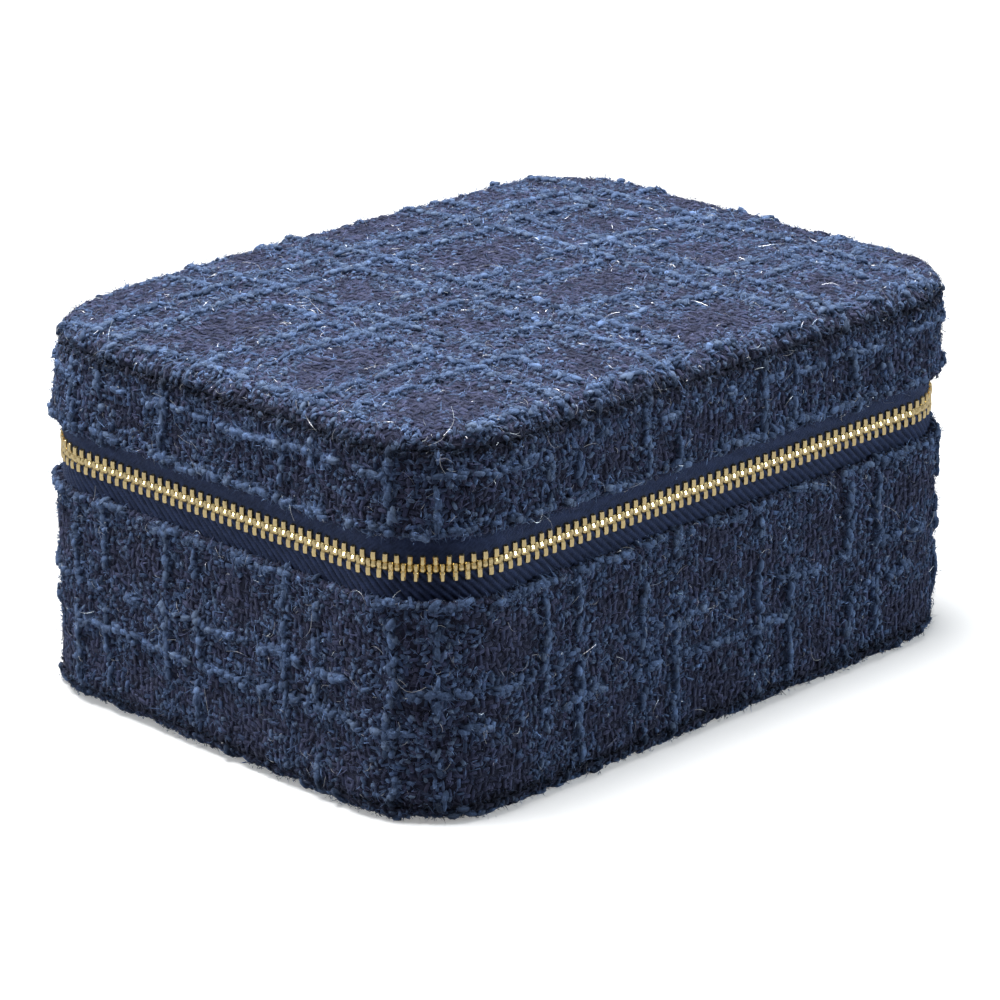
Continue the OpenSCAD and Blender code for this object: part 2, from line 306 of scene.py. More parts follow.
def carried(profile, u):
    """Profile rows (inset, z) carried round the plan at the distances u: a
    grid of points, one row per profile point, and the outward normals."""
    x, y, nx, ny = outline(u)
    inset = profile[:, 0][:, None]
    z = np.broadcast_to(profile[:, 1][:, None], (len(profile), len(u)))
    return np.stack([x[None] - nx[None] * inset, y[None] - ny[None] * inset, z], -1), nx, ny


def grid_faces(rows, cols, wrap_rows=False, wrap_cols=False):
    """Quads of a rows x cols grid of points stored row by row."""
    i = np.arange(rows if wrap_rows else rows - 1)
    j = np.arange(cols if wrap_cols else cols - 1)
    i, j = np.meshgrid(i, j, indexing="ij")
    i2 = (i + 1) % rows
    j2 = (j + 1) % cols
    quads = [i * cols + j, i * cols + j2, i2 * cols + j2, i2 * cols + j]
    return np.stack(quads, -1).reshape(-1, 4)


def fan(ring, hub):
    """Triangles from a closed ring of points to one hub point."""
    return np.stack([ring, np.roll(ring, -1), np.full(len(ring), hub)], -1)


def repeated(faces, count, step):
    """The faces of one shape for each of count copies, step points apart."""
    return (faces[None] + np.arange(count)[:, None, None] * step).reshape(-1, faces.shape[1])


UV_PER_MM = 0.1


def new_piece(name, points, quads, uv=None, colour=None, tris=None):
    """A smooth mesh object from arrays: points in mm, quads and triangles as
    index rows, uv and colour one row per point."""
    mesh = bpy.data.meshes.new(name)
    quads = np.asarray(quads, dtype=np.int32).reshape(-1, 4)
    tris = np.asarray(() if tris is None else tris, dtype=np.int32).reshape(-1, 3)
    loops = np.concatenate([quads.ravel(), tris.ravel()])
    starts = np.concatenate([
        np.arange(len(quads)) * 4, len(quads) * 4 + np.arange(len(tris)) * 3])
    mesh.vertices.add(len(points))
    mesh.vertices.foreach_set("co", (np.asarray(points) * MM).astype(np.float32).ravel())
    mesh.loops.add(len(loops))
    mesh.loops.foreach_set("vertex_index", loops)
    mesh.polygons.add(len(starts))
    mesh.polygons.foreach_set("loop_start", starts.astype(np.int32))
    mesh.polygons.foreach_set("use_smooth", np.ones(len(starts), bool))
    mesh.update(calc_edges=True)
    if uv is not None:
        layer = mesh.uv_layers.new(name="UVMap")
        uv = np.asarray(uv)[loops] * UV_PER_MM
        layer.data.foreach_set("uv", uv.astype(np.float32).ravel())
    if colour is not None:
        attribute = mesh.color_attributes.new("yarn", "FLOAT_COLOR", "POINT")
        rgba = np.ones((len(points), 4), np.float32)
        rgba[:, :3] = colour
        attribute.data.foreach_set("color", rgba.ravel())
    mesh.validate()
    obj = bpy.data.objects.new(name, mesh)
    bpy.context.scene.collection.objects.link(obj)
    return obj


def grid_normals(p, wrap_rows=False, wrap_cols=False):
    """Unit normals of a grid of points: the cross product of the central
    differences along its two directions."""

    def slope(axis, wrap):
        if wrap:
            return np.roll(p, -1, axis) - np.roll(p, 1, axis)
        return np.gradient(p, axis=axis)

    return unit(np.cross(slope(1, wrap_cols), slope(0, wrap_rows)))


def stadium(z0, z1, thick, step):
    """Closed profile of a rolled-edge band, as rows (inset, z, place along it,
    weight): up the outer face, round the top edge, down the inner face and
    round the bottom edge. weight is 1 on the outer face and falls inside."""
    edge_step = 0.4
    inner_weight = 0.3
    r = thick / 2
    n_face = max(2, int(round((z1 - z0 - 2 * r) / step)))
    n_arc = max(4, int(round(pi * r / edge_step)))
    turns = [pi * k / n_arc for k in range(1, n_arc)]
    rows = [(0.0, z, z, 1.0) for z in np.linspace(z0 + r, z1 - r, n_face + 1)]
    for a in turns:
        weight = 1.0 if a < pi * 0.52 else inner_weight
        rows.append((r - r * cos(a), z1 - r + r * sin(a), z1 - r + r * a, weight))
    for z in (z1 - r, (z0 + z1) / 2, z0 + r):
        rows.append((thick, z, z1 + pi * r, 0.0))
    for a in turns:
        weight = 1.0 if a > pi * 0.48 else inner_weight
        rows.append((r + r * cos(a), z0 + r - r * sin(a), z0 + r - r * (pi - a), weight))
    return np.array(rows)


def root_points(p, n, u, v, weight, share, near):
    """Flat arrays of a cloth's grid points with their normals, fabric
    directions and place in the cloth, from which yarn and fibres grow."""
    tu = np.gradient(p, axis=1)
    roots = {
        "p": p.reshape(-1, 3), "n": n.reshape(-1, 3),
        "tu": unit(tu).reshape(-1, 3), "tv": unit(np.cross(n, tu)).reshape(-1, 3),
    }
    for key, value in (("u", u), ("v", v), ("w", weight), ("share", share), ("near", near)):
        roots[key] = np.array(np.broadcast_to(value, p.shape[:2])).ravel()
    return roots


def painted_seam_shade(depth, dark, reach):
    """Painted shade in the groove beside a seam: 1 - dark * exp(-(depth/reach)^2)."""
    return 1 - dark * np.exp(-(depth / reach) ** 2)


def lid_give(p, ease=1.0):
    """The lid's soft shape: its skirt stands out at the lower edge, mostly on
    the right, and its rear left corner is pressed towards the corner's centre
    by a bell exp(-(d/reach)^2) of the distance from the corner, more the
    higher up, and sinks a little."""
    stand_out, press_in, sink, reach = 0.6, 1.9, 0.8, 18
    centre = np.array([-(CASE_W / 2 - CORNER_R), CASE_D / 2 - CORNER_R])
    tip = centre + CORNER_R * np.array([-1.0, 1.0]) / 2 ** 0.5
    to = centre - p[..., :2]
    far = np.linalg.norm(to, axis=-1)
    near = np.exp(-(np.linalg.norm(p[..., :2] - tip, axis=-1) / reach) ** 2)
    push = press_in * near * soft_step(p[..., 2], LID_LO[2] + 4, TOP_LO[2] + 1.5) * ease
    amount = push * soft_step(far, 4, 15) / np.maximum(far, 1e-6)
    low = 1 - soft_step(p[..., 2], LID_LO[2] - 2, LID_HI[2] - 4)
    low = low * (0.2 + 0.8 * soft_step(p[..., 0], -40, 40))
    out = p.copy()
    out[..., :2] += to * amount[..., None]
    out[..., :2] *= 1 + (stand_out * low * ease / (CASE_W / 2))[..., None]
    out[..., 2] -= sink * near * soft_step(p[..., 2], TOP_LO[2] - 3, TOP_HI[2])
    return out


def band_of_cloth(name, z0, z1, cords, seed, cloth, lid):
    """Cloth band round the case: the stadium profile carried round the plan,
    then moved along its normals by the tweed's height less a drop, which
    leaves room for the yarn."""
    columns, step, drop = 700, 0.70, 0.55
    total = outline_length()
    u = np.arange(columns) * total / columns
    profile = stadium(z0, z1, COVER_T, step)
    p, nx, ny = carried(profile, u)
    if lid:
        p = lid_give(p, 1 - 0.6 * profile[:, 0][:, None] / COVER_T)
    uu = np.broadcast_to(u[None], p.shape[:2])
    vv = np.broadcast_to(profile[:, 2][:, None], p.shape[:2])
    n = grid_normals(p, True, True)
    outward = (n[..., 0] * nx[None] + n[..., 1] * ny[None])[1].mean()
    n = n * np.sign(outward)
    height, colour, share, near = tweed(uu, vv, cords, seed, cloth)
    sag = 0.35 * (grain(uu / 17, vv / 15, seed + 90) - 0.5)
    weight = profile[:, 3][:, None]
    p = p + n * ((height - drop + sag) * weight)[..., None]
    faces = grid_faces(len(profile), columns, True, True)
    if outward < 0:
        faces = faces[:, ::-1]
    obj = new_piece(
        name, p.reshape(-1, 3), faces,
        uv=np.stack([uu, vv], -1).reshape(-1, 2), colour=colour.reshape(-1, 3))
    roots = root_points(p, n, uu, vv, weight, share, near)
    # painted shade along the band's seam edge (the lid's top seam, the base's lower edge), kept in
    # roots as shade for the yarn
    shade = painted_seam_shade(roots["v"] - (z1 if lid else z0), 0.82, 1.3)
    roots.update(area=total * (z1 - z0 + 2), shade=shade, seed=seed, cords=cords)
    return obj, roots


def grid_rim(rows, cols):
    """Indices of a grid's outer points, once round it."""
    return np.concatenate([
        np.arange(rows - 1) * cols,
        (rows - 1) * cols + np.arange(cols - 1),
        np.arange(rows - 1, 0, -1) * cols + cols - 1,
        np.arange(cols - 1, 0, -1),
    ])


# the rings that close a panel inside: how far in from its rim (mm) each lies,
# and how far up the panel's edge as a share of the edge's height
CLOSING_RINGS = ((1.2, 0.1), (2.6, 0.45), (6.0, 0.72), (22.0, 0.74))


def closed_inside(flat, rim, seam_z, rise):
    """A panel's points with the closing rings and a last point in the middle
    added, the quads between the rings and the fan of triangles inside them."""
    points = [flat]
    quads = []
    before = rim
    for k, (inward, share) in enumerate(CLOSING_RINGS):
        ring = flat[rim].copy()
        ring[:, :2] -= np.sign(ring[:, :2]) * np.minimum(inward, np.abs(ring[:, :2]))
        ring[:, 2] = seam_z + rise * share
        points.append(ring)
        now = len(flat) + k * len(rim) + np.arange(len(rim))
        quads.append(np.stack([before, now, np.roll(now, -1), np.roll(before, -1)], -1))
        before = now
    points.append(np.array([[0, 0, seam_z + rise * CLOSING_RINGS[-1][1]]]))
    hub = len(flat) + len(CLOSING_RINGS) * len(rim)
    return np.concatenate(points), np.concatenate(quads), fan(before, hub)[:, ::-1]


def rounded_grid(w, d, r, face_step):
    """Points of a flat rounded rectangle of half sizes w and d, on a grid
    whose corner cells are squeezed to quarter circles by s*sqrt(1 - t^2/2),
    with their depth in from its rim and the direction out to it."""
    nu = int(round(2 * w / face_step)) + 1
    nv = int(round(2 * d / face_step)) + 1
    gu, gv = np.meshgrid(np.linspace(-w, w, nu), np.linspace(-d, d, nv), indexing="ij")
    s = np.clip((np.abs(gu) - (w - r)) / r, 0, 1)
    t = np.clip((np.abs(gv) - (d - r)) / r, 0, 1)
    fx = np.sign(gu) * (np.minimum(np.abs(gu), w - r) + r * s * np.sqrt(1 - t * t / 2))
    fy = np.sign(gv) * (np.minimum(np.abs(gv), d - r) + r * t * np.sqrt(1 - s * s / 2))
    qx = np.abs(fx) - (w - r)
    qy = np.abs(fy) - (d - r)
    outside = np.hypot(np.maximum(qx, 0), np.maximum(qy, 0))
    depth = r - (outside + np.minimum(np.maximum(qx, qy), 0))
    # away from the corners the nearest side gives the direction
    gx = np.where(qx > 0, qx, 0) + 1e-9 * (qx >= qy)
    gy = np.where(qy > 0, qy, 0) + 1e-9 * (qx < qy)
    length = np.hypot(gx, gy)
    return fx, fy, depth, np.sign(fx) * gx / length, np.sign(fy) * gy / length


def cushion_sheet(name, half_w, half_d, r, seam_z, edge_h, crown, face_step, cords, seed, cloth,
                  drop, up=1, press=1.0, rim_only=False):
    """Padded panel with a rolled edge. The outer strip of a flat rounded
    sheet of cloth, one edge length wide, is bent down along an ellipse to the
    seam, with small puckers there, and the middle rises by crown times
    (1 - x^4)(1 - y^4) and slow waves. Tweed height less a drop is added along
    the normals. Rings from the rim to the middle, lower down, close it."""
    # how far in from the wall the bend starts
    reach = 3.0
    bend = pi / 4 * (reach + edge_h)
    w = half_w - reach + bend
    d = half_d - reach + bend
    fx, fy, depth, ex, ey = rounded_grid(w, d, r - reach + bend, face_step)
    nu, nv = fx.shape
    a = np.clip(1 - depth / bend, 0, 1) * pi / 2
    shift = np.where(depth < bend, bend - reach - depth + reach * (1 - np.sin(a)), 0)
    x = fx - ex * shift
    y = fy - ey * shift
    around = np.arctan2(fy, fx) * 40
    pucker = np.exp(-((depth - 0.4 * bend) / (0.5 * bend)) ** 2)
    pucker = pucker * 0.9 * (grain(around, np.zeros_like(around), seed + 91) - 0.5)
    rise = crown * (1 - (x / half_w) ** 4) * (1 - (y / half_d) ** 4)
    wave = 0.6 * (grain(fx / 21, fy / 19, seed + 92) - 0.5) * soft_step(depth, bend, bend * 4)
    lift = (rise + wave) * soft_step(depth, 0, bend * 1.5)
    z = seam_z + up * (edge_h * np.cos(a) + lift)
    p = np.stack([x, y, z], -1)
    if up > 0:
        p = lid_give(p)
    n = grid_normals(p)
    n = n * np.sign(n[nu // 2, nv // 2, 2]) * up
    height, colour, share, near = tweed(fx, fy, cords, seed, cloth)
    edge = soft_step(depth, 0.0, 0.5)
    p = p + n * (press * (height - drop) * edge + pucker)[..., None]
    p[..., 2] = np.maximum(p[..., 2], PRESSED)
    faces = grid_faces(nu, nv)
    flat = p.reshape(-1, 3)
    rim = grid_rim(nu, nv)
    points, bands, cap = closed_inside(flat, rim, seam_z, up * edge_h)
    middle = faces[(nu // 2) * (nv - 1) + nv // 2]
    trial = np.cross(flat[middle[1]] - flat[middle[0]], flat[middle[3]] - flat[middle[0]])
    if trial[2] * up < 0:
        faces = faces[:, ::-1]
        bands = bands[:, ::-1]
        cap = cap[:, ::-1]
    rings = len(CLOSING_RINGS)
    uv = np.stack([fx, fy], -1).reshape(-1, 2)
    uv = np.concatenate([uv] + [uv[rim]] * rings + [[[0, 0]]])
    rgb = colour.reshape(-1, 3)
    rgb = np.concatenate([rgb] + [rgb[rim]] * rings + [rgb[:1]])
    quads = np.concatenate([faces, bands])
    obj = tidy_normals(new_piece(name, points, quads, uv=uv, colour=rgb, tris=cap))
    weight = soft_step(depth, 0.2, 0.7)
    area = 4 * w * d
    if rim_only:
        weight = weight * (depth < bend)
        area = 2 * (w + d) * 2 * bend
    roots = root_points(p, n, fx, fy, weight, share, near)
    # the grid's first direction is x here, so the fabric's directions swap
    roots["tu"] = unit(np.gradient(p, axis=0)).reshape(-1, 3)
    roots["tv"] = np.cross(roots["n"], roots["tu"])
    # painted shade in the groove at the panel's rim seam, kept in roots as shade for the yarn
    shade = painted_seam_shade(depth.ravel(), 0.80, 1.1)
    roots.update(area=area, shade=shade, seed=seed, cords=cords)
    return obj, roots


def nearest_in_cells(cell, miss, ok):
    """Index of the grid point with the least miss in each cell."""
    index = np.nonzero(ok)[0]
    order = index[np.lexsort((miss[index], cell[index]))]
    _, first = np.unique(cell[order], return_index=True)
    return order[first]


def beads(name, at, up, way, long, wide, tall, arch, colour, rings=3):
    """Short closed yarn floats, one per row of the arrays. Each is an
    ellipsoid drawn out along its way: rings of four corners with radius
    sqrt(1 - t^2) at evenly spaced t, two tips at t = -1 and 1, and its ends
    bent down by arch*t^2. Painted shade makes the ends darker than the
    crown, and painted light makes the upper side lighter than the lower."""
    sides = 4
    # the four corners stand further out than the round they are cut from
    corner = 1.7
    side = np.cross(up, way)
    t = np.linspace(-0.6, 0.6, rings)
    rad = np.sqrt(1 - t * t)
    b = (np.arange(sides) + 0.5) / sides * 2 * pi
    ring = np.stack([
        np.repeat(t, sides), np.outer(rad, np.cos(b)).ravel(), np.outer(rad, np.sin(b)).ravel()], -1)
    shape = np.concatenate([[[-1.0, 0.0, 0.0]], ring, [[1.0, 0.0, 0.0]]])
    along = shape[None, :, 0] * long[:, None] / 2
    over = shape[None, :, 1] * wide[:, None] / corner
    high = shape[None, :, 2] * tall[:, None] / corner - arch[:, None] * shape[None, :, 0] ** 2
    points = at[:, None] + way[:, None] * along[..., None]
    points = points + side[:, None] * over[..., None] + up[:, None] * high[..., None]
    points[..., 2] = np.maximum(points[..., 2], PRESSED)
    size = len(shape)
    quads = 1 + grid_faces(rings, sides, False, True)
    first = 1 + np.arange(sides)
    last = size - 1 - sides + np.arange(sides)
    tris = np.concatenate([fan(first, 0)[:, ::-1], fan(last, size - 1)])
    # painted shade and light: the tips are painted darker where they dip into the gaps, the upper side
    # lighter
    light = 0.55 + 0.35 * (1 - shape[:, 0] ** 2) + 0.25 * shape[:, 2]
    rgb = colour[:, None] * light[None, :, None]
    count = len(at)
    return new_piece(
        name, points.reshape(-1, 3), repeated(quads, count, size)[:, ::-1],
        colour=rgb.reshape(-1, 3), tris=repeated(tris, count, size)[:, ::-1])


def turned(roots, pick, angle):
    """Unit directions in the cloth at an angle from its first direction."""
    return roots["tu"][pick] * np.cos(angle)[:, None] + roots["tv"][pick] * np.sin(angle)[:, None]


def jostled(roots, pick, at, amount, rng):
    """Places moved about in the cloth's surface by normal draws."""
    count = len(pick)
    at = at + roots["tu"][pick] * rng.normal(0, amount, (count, 1))
    return at + roots["tv"][pick] * rng.normal(0, amount, (count, 1))


# keeps the cell number of every float apart from its neighbours'
CELL_ROW = 20011
# weights above which a root is far enough from the seams for yarn and fibres
YARN_FROM = 0.6
FIBRES_FROM = 0.5


def weave(roots, cloth):
    """Marks which float of a plain weave each root belongs to. Rows wander
    with smooth noise; every cell shares one tone and one lay, and is blue or
    ground by its own random number against the share of blue wanted there."""
    seed = roots["seed"]
    pitch = cloth.yarn_pitch / MM
    u = roots["u"] + 1.1 * (grain(roots["u"] / 5.1, roots["v"] / 3.3, seed + 30) - 0.5)
    v = roots["v"] + 1.1 * (grain(roots["u"] / 3.3, roots["v"] / 5.1, seed + 31) - 0.5)
    u = u / pitch
    v = v / (pitch * 0.92)
    iu = np.floor(u).astype(int)
    iv = np.floor(v).astype(int)
    ring_u = iu % LATTICE
    ring_v = iv % LATTICE
    own = lattice(seed + 95)
    other = lattice(seed + 96)
    patch = grain(roots["u"] / 2.6, roots["v"] / 2.6, seed + 70)
    stray = 0.04
    chance = 0.9 * roots["near"] ** 1.4 * (0.45 + 0.55 * roots["share"]) * (0.25 + 1.5 * patch)
    roots["cell"] = iu * CELL_ROW + iv
    roots["level"] = (iu + iv) % 2 == 1
    roots["miss"] = (u - iu - 0.5) ** 2 + (v - iv - 0.5) ** 2
    roots["tone"] = np.exp(0.95 * (own[ring_u, ring_v] - 0.5))
    roots["blue"] = other[ring_u, ring_v] < stray + chance
    roots["lay"] = np.where(roots["level"], 0.0, pi / 2) + 0.9 * (other[ring_v, ring_u] - 0.5)


def ground_yarn(name, roots, upright, cloth):
    """One of the two sets of ground yarn: floats at every second crossing."""
    rng = np.random.default_rng(roots["seed"] + (1 if upright else 2))
    pitch = cloth.yarn_pitch / MM
    ok = (roots["w"] > YARN_FROM) & (roots["level"] != upright)
    pick = nearest_in_cells(roots["cell"], roots["miss"], ok)
    count = len(pick)
    angle = roots["lay"][pick] + rng.normal(0, 0.12, count)
    long = pitch * rng.uniform(1.25, 1.9, count) * (1.1 if upright else 1.0)
    wide = pitch * rng.uniform(0.5, 0.85, count)
    tall = rng.uniform(0.40, 0.70, count)
    at = roots["p"][pick] + roots["n"][pick] * rng.uniform(0.02, 0.24, count)[:, None]
    at = jostled(roots, pick, at, 0.10, rng)
    warm = rng.uniform(0, 1, (count, 1))
    tint = np.array([1.05, 1.0, 0.98]) * warm + np.array([0.90, 1.0, 1.10]) * (1 - warm)
    blue = roots["blue"][pick][:, None] * rng.uniform(0.35, 0.85, (count, 1))
    rgb = (np.array(cloth.ground) * (1 - blue) + np.array(cloth.cord) * blue) * tint
    # each cell's own random tone, times the painted shade beside the seams
    rgb = rgb * (roots["tone"] * roots["shade"])[pick][:, None]
    return beads(name, at, roots["n"][pick], turned(roots, pick, angle), long, wide, tall,
                 rng.uniform(0.2, 0.42, count), rgb, 2)


def chenille(name, roots, cloth):
    """The raised cords: tufts at even steps along each cord where it shows,
    and smaller loose tufts of the same pile scattered near the cords. Leaves
    the tufts' crowns and colours in roots for the pile to grow from."""
    tuft_step, loose_step, loose_size = 0.85, 1.5, 0.62
    pale_yarn = np.array([0.20, 0.27, 0.41])
    seed = roots["seed"]
    rng = np.random.default_rng(seed + 3)
    half = cloth.cord_half / MM
    u, v, near = roots["u"], roots["v"], roots["near"]
    picks = []
    angles = []
    big = []
    for upright, _, off, along, shows in each_cord(roots["cords"], u, v, seed):
        cell = np.floor(along / tuft_step).astype(int)
        ok = (np.abs(off) < 0.45) & (shows > 0.35) & (roots["w"] > YARN_FROM)
        miss = np.abs(off) + 0.3 * np.abs(along / tuft_step - cell - 0.5)
        pick = nearest_in_cells(cell, miss, ok)
        picks.append(pick)
        angles.append(np.full(len(pick), pi / 2 if upright else 0.0))
        big.append(np.ones(len(pick)))
    cell = np.floor(u / loose_step).astype(int) * CELL_ROW + np.floor(v / loose_step).astype(int)
    clump = 0.6 * grain(u / 2.7, v / 2.7, seed + 60) + 0.4 * grain(u / 0.9, v / 0.9, seed + 61)
    ok = (roots["w"] > YARN_FROM) & (clump + 0.34 * near > 0.805) & (near > 0.2)
    pick = nearest_in_cells(cell, rng.random(len(cell)), ok)
    picks.append(pick)
    angles.append(rng.uniform(0, pi, len(pick)))
    big.append(np.full(len(pick), loose_size))
    pick = np.concatenate(picks)
    big = np.concatenate(big)
    count = len(pick)
    n = roots["n"][pick]
    angle = np.concatenate(angles) + rng.normal(0, 0.30, count)
    long = 2.3 * big * rng.uniform(0.6, 1.4, count)
    wide = 2 * half * 0.52 * big * rng.uniform(0.6, 1.3, count)
    tall = 2 * half * 0.46 * big * rng.uniform(0.7, 1.25, count)
    at = roots["p"][pick] + n * (0.16 + rng.uniform(0.0, 0.28, count))[:, None] * big[:, None]
    at = jostled(roots, pick, at, 0.26, rng)
    tone = np.exp(rng.normal(0, 0.26, count))[:, None]
    pale = (rng.random((count, 1)) < 0.28) * rng.uniform(0.2, 0.7, (count, 1))
    rgb = np.array(cloth.cord) * tone
    rgb = rgb * (1 - pale) + pale_yarn * pale
    # painted shade beside the seams
    rgb = rgb * roots["shade"][pick][:, None]
    way = turned(roots, pick, angle)
    obj = beads(name, at, n, way, long, wide, tall, rng.uniform(0.05, 0.30, count), rgb, 3)
    roots["tuft"] = {"p": at + n * tall[:, None] * 0.25, "n": n, "c": rgb}
    return obj


def fibres(name, p0, n, rgb, length, width, spread, rise, seed, lay=None):
    """Loose fibres, one for each root: flat tapering strips of two steps and
    a tip. Each leaves along lay, or a random tangent, plus a random share
    (from rise's two limits) of the normal, and bends over by a random turn."""
    rng = np.random.default_rng(seed)
    count = len(p0)
    p0 = p0 + rng.normal(0, spread, (count, 3))
    side = np.cross(n, rng.normal(0, 1, (count, 3)))
    if lay is not None:
        side = lay * rng.choice([-1.0, 1.0], (count, 1)) + 0.16 * side
    way = unit(unit(side) + n * rng.uniform(*rise, (count, 1)))
    turn = unit(np.cross(way, rng.normal(0, 1, (count, 3))))
    long = length * np.exp(rng.normal(-0.08, 0.38, (count, 1)))
    bow = turn * long * rng.uniform(-0.6, 0.6, (count, 1))
    p0 = p0 - n * 0.1
    p1 = p0 + way * long * 0.5 + bow * 0.5
    p2 = p0 + way * long * 0.85 + bow * 1.15 - n * long * 0.12
    across = unit(np.cross(way, n + 0.7 * turn))
    half = width / 2 * rng.uniform(0.7, 1.3, (count, 1))
    strip = [
        p0 - across * half, p0 + across * half,
        p1 - across * half * 0.8, p1 + across * half * 0.8, p2,
    ]
    points = np.stack(strip, 1).reshape(-1, 3)
    points[:, 2] = np.maximum(points[:, 2], PRESSED)
    size = len(strip)
    shade = np.exp(rng.normal(0.12, 0.30, (count, 1)))
    colour = np.repeat(np.clip(rgb * shade, 0, 1), size, axis=0)
    quads = repeated(np.array([[0, 1, 3, 2]]), count, size)
    tips = repeated(np.array([[2, 3, 4]]), count, size)
    return new_piece(name, points, quads, colour=colour, tris=tips)


def metal_threads(name, roots, count, seed):
    """Loose metallic threads: thin strips of six steps that follow a shallow
    arc over the cloth, some of them standing off at one end."""
    lengths = [0.7, 1.2, 2.0, 3.4, 5.5]
    shares = [0.34, 0.30, 0.20, 0.11, 0.05]
    half = 0.021
    steps = 6
    rng = np.random.default_rng(seed)
    weight = (0.15 + roots["near"]) * (roots["w"] > FIBRES_FROM)
    pick = rng.choice(len(weight), count, p=weight / weight.sum())
    n = roots["n"][pick]
    way = unit(np.cross(n, rng.normal(0, 1, (count, 3))))
    across = np.cross(n, way)[:, None]
    long = rng.choice(lengths, count, p=shares)[:, None]
    lift = rng.uniform(0.0, 0.45, (count, 1)) * np.minimum(long, 2.0)
    bow = rng.uniform(-0.3, 0.3, (count, 1)) * long
    t = np.linspace(0, 1, steps)[None, :, None]
    arc = 0.25 * np.sin(pi * t) * np.minimum(long[:, None], 1.5)
    path = (roots["p"][pick] + n * 0.45)[:, None] + way[:, None] * long[:, None] * t
    path = path + n[:, None] * (lift[:, None] * t * t + arc)
    path = path + across * bow[:, None] * np.sin(pi * t)
    twist = rng.uniform(0, pi, (count, 1, 1)) + t * rng.uniform(-1.5, 1.5, (count, 1, 1))
    wide = across * np.cos(twist) + n[:, None] * np.sin(twist)
    points = np.stack([path - wide * half, path + wide * half], 2).reshape(-1, 3)
    points[:, 2] = np.maximum(points[:, 2], PRESSED)
    strip = np.arange(steps - 1)[:, None] * 2 + np.array([0, 1, 3, 2])
    return new_piece(name, points, repeated(strip, count, steps * 2))


def capped_strip(name, p, uv, painted_rib_shading):
    """A closed profile (rows) carried along open-ended columns, both ends
    shut by a fan to their middle, in the tape's colour times a factor that
    holds painted light on the rib crests and painted shade in their grooves."""
    rows, cols = p.shape[:2]
    flat = p.reshape(-1, 3)
    rings = [np.arange(rows) * cols + end for end in (0, cols - 1)]
    points = np.concatenate([flat] + [flat[ring].mean(0)[None] for ring in rings])
    tris = np.concatenate([fan(ring, len(flat) + k) for k, ring in enumerate(rings)])
    tape = np.array(bpy.context.scene.case_trim.tape)
    colour = np.concatenate([(painted_rib_shading[..., None] * tape).reshape(-1, 3), [tape, tape]])
    uv = np.concatenate([uv.reshape(-1, 2), np.zeros((2, 2))])
    quads = grid_faces(rows, cols, True, False)
    return tidy_normals(new_piece(name, points, quads, uv=uv, colour=colour, tris=tris))


def tape_strip(name, z0, z1, edge_up, seed):
    """Zip tape: a flat closed strip carried round the plan from one end of
    the spine to the other. Twill: ridges that run diagonally, height
    a*|cos(pi*(u + lean*v)/pitch)|^0.8, with a corded edge beside the teeth.
    Past the end stops the tape widens to meet the other one."""
    row_step, end_gap, edge_gap, proud = 0.38, 0.15, 0.07, 0.38
    columns, pitch, lean, ridge = (1000, 1.85, 1.1, 0.60) if edge_up else (700, 1.05, -1.1, 0.25)
    start = SPINE_HI[0] + end_gap
    u = np.linspace(start, outline_length() - start, columns)
    half = TAPE_T / 2
    face = np.linspace(z0, z1, int(round((z1 - z0) / row_step)))
    profile = [(CHAIN_IN - half, z, 1.0) for z in face]
    profile += [(CHAIN_IN, z1, 0.0)]
    profile += [(CHAIN_IN + half, z, 0.0) for z in (z1, (z0 + z1) / 2, z0)]
    profile = np.array(profile)
    outer = profile[:, 2][:, None]
    x, y, nx, ny = outline(u)
    uu = np.broadcast_to(u[None], (len(profile), columns))
    vv = np.broadcast_to(profile[:, 1][:, None], uu.shape)
    stops, _, _ = metal_places(frame["nodes"]["zip_stops_lower"])
    inside = soft_step(u, stops[0] - 2.4, stops[0] - 1.4)
    inside = inside * (1 - soft_step(u, stops[-1] + 1.4, stops[-1] + 2.4))
    # an edge behind the hinge line keeps the room it needs to swing open
    _, y_out, _, _ = outline(u, CHAIN_IN - half - proud)
    swing = 1.5 * np.maximum(y_out - HINGE_Y, 0)
    reach = np.maximum(abs((z1 if edge_up else z0) - ZIP_Z) - edge_gap - swing, 0) * (1 - inside)
    if edge_up:
        vv = vv + reach * (vv - z0) / (z1 - z0)
    else:
        vv = vv - reach * (z1 - vv) / (z1 - z0)
    wobble = 0.25 * (grain(uu / 6, vv / 3, seed) - 0.5)
    rib = np.abs(np.cos(pi * (uu + lean * vv + wobble) / pitch)) ** 0.8
    from_edge = np.abs(profile[:, 1] - (z1 if edge_up else z0))[:, None]
    cord = 0.05 * np.exp(-((from_edge - 0.75) / 0.45) ** 2)
    height = (ridge * rib - 0.22) * outer + cord * outer
    sag = 0.12 * (grain(uu / 9, vv / 5, seed + 1) - 0.5) * outer
    inset = profile[:, 0][:, None] - height - sag
    p = np.stack([x[None] - nx[None] * inset, y[None] - ny[None] * inset, vv], -1)
    # painted light on the rib crests and painted shade in the grooves between them
    painted_rib_shading = (0.30 + 1.35 * rib ** 1.5) if edge_up else (0.75 + 0.55 * rib)
    # times the tape's own uneven tone
    painted_rib_shading = painted_rib_shading * (0.8 + 0.4 * grain(uu / 0.5, vv / 0.4, seed + 2))
    return capped_strip(name, p, np.stack([uu, vv], -1), painted_rib_shading)


def tidy_normals(obj, smooth=True):
    """Turns a closed mesh's faces to point outwards."""
    bm = bmesh.new()
    bm.from_mesh(obj.data)
    bmesh.ops.recalc_face_normals(bm, faces=bm.faces)
    bm.to_mesh(obj.data)
    bm.free()
    obj.data.polygons.foreach_set("use_smooth", np.full(len(obj.data.polygons), smooth))
    return obj


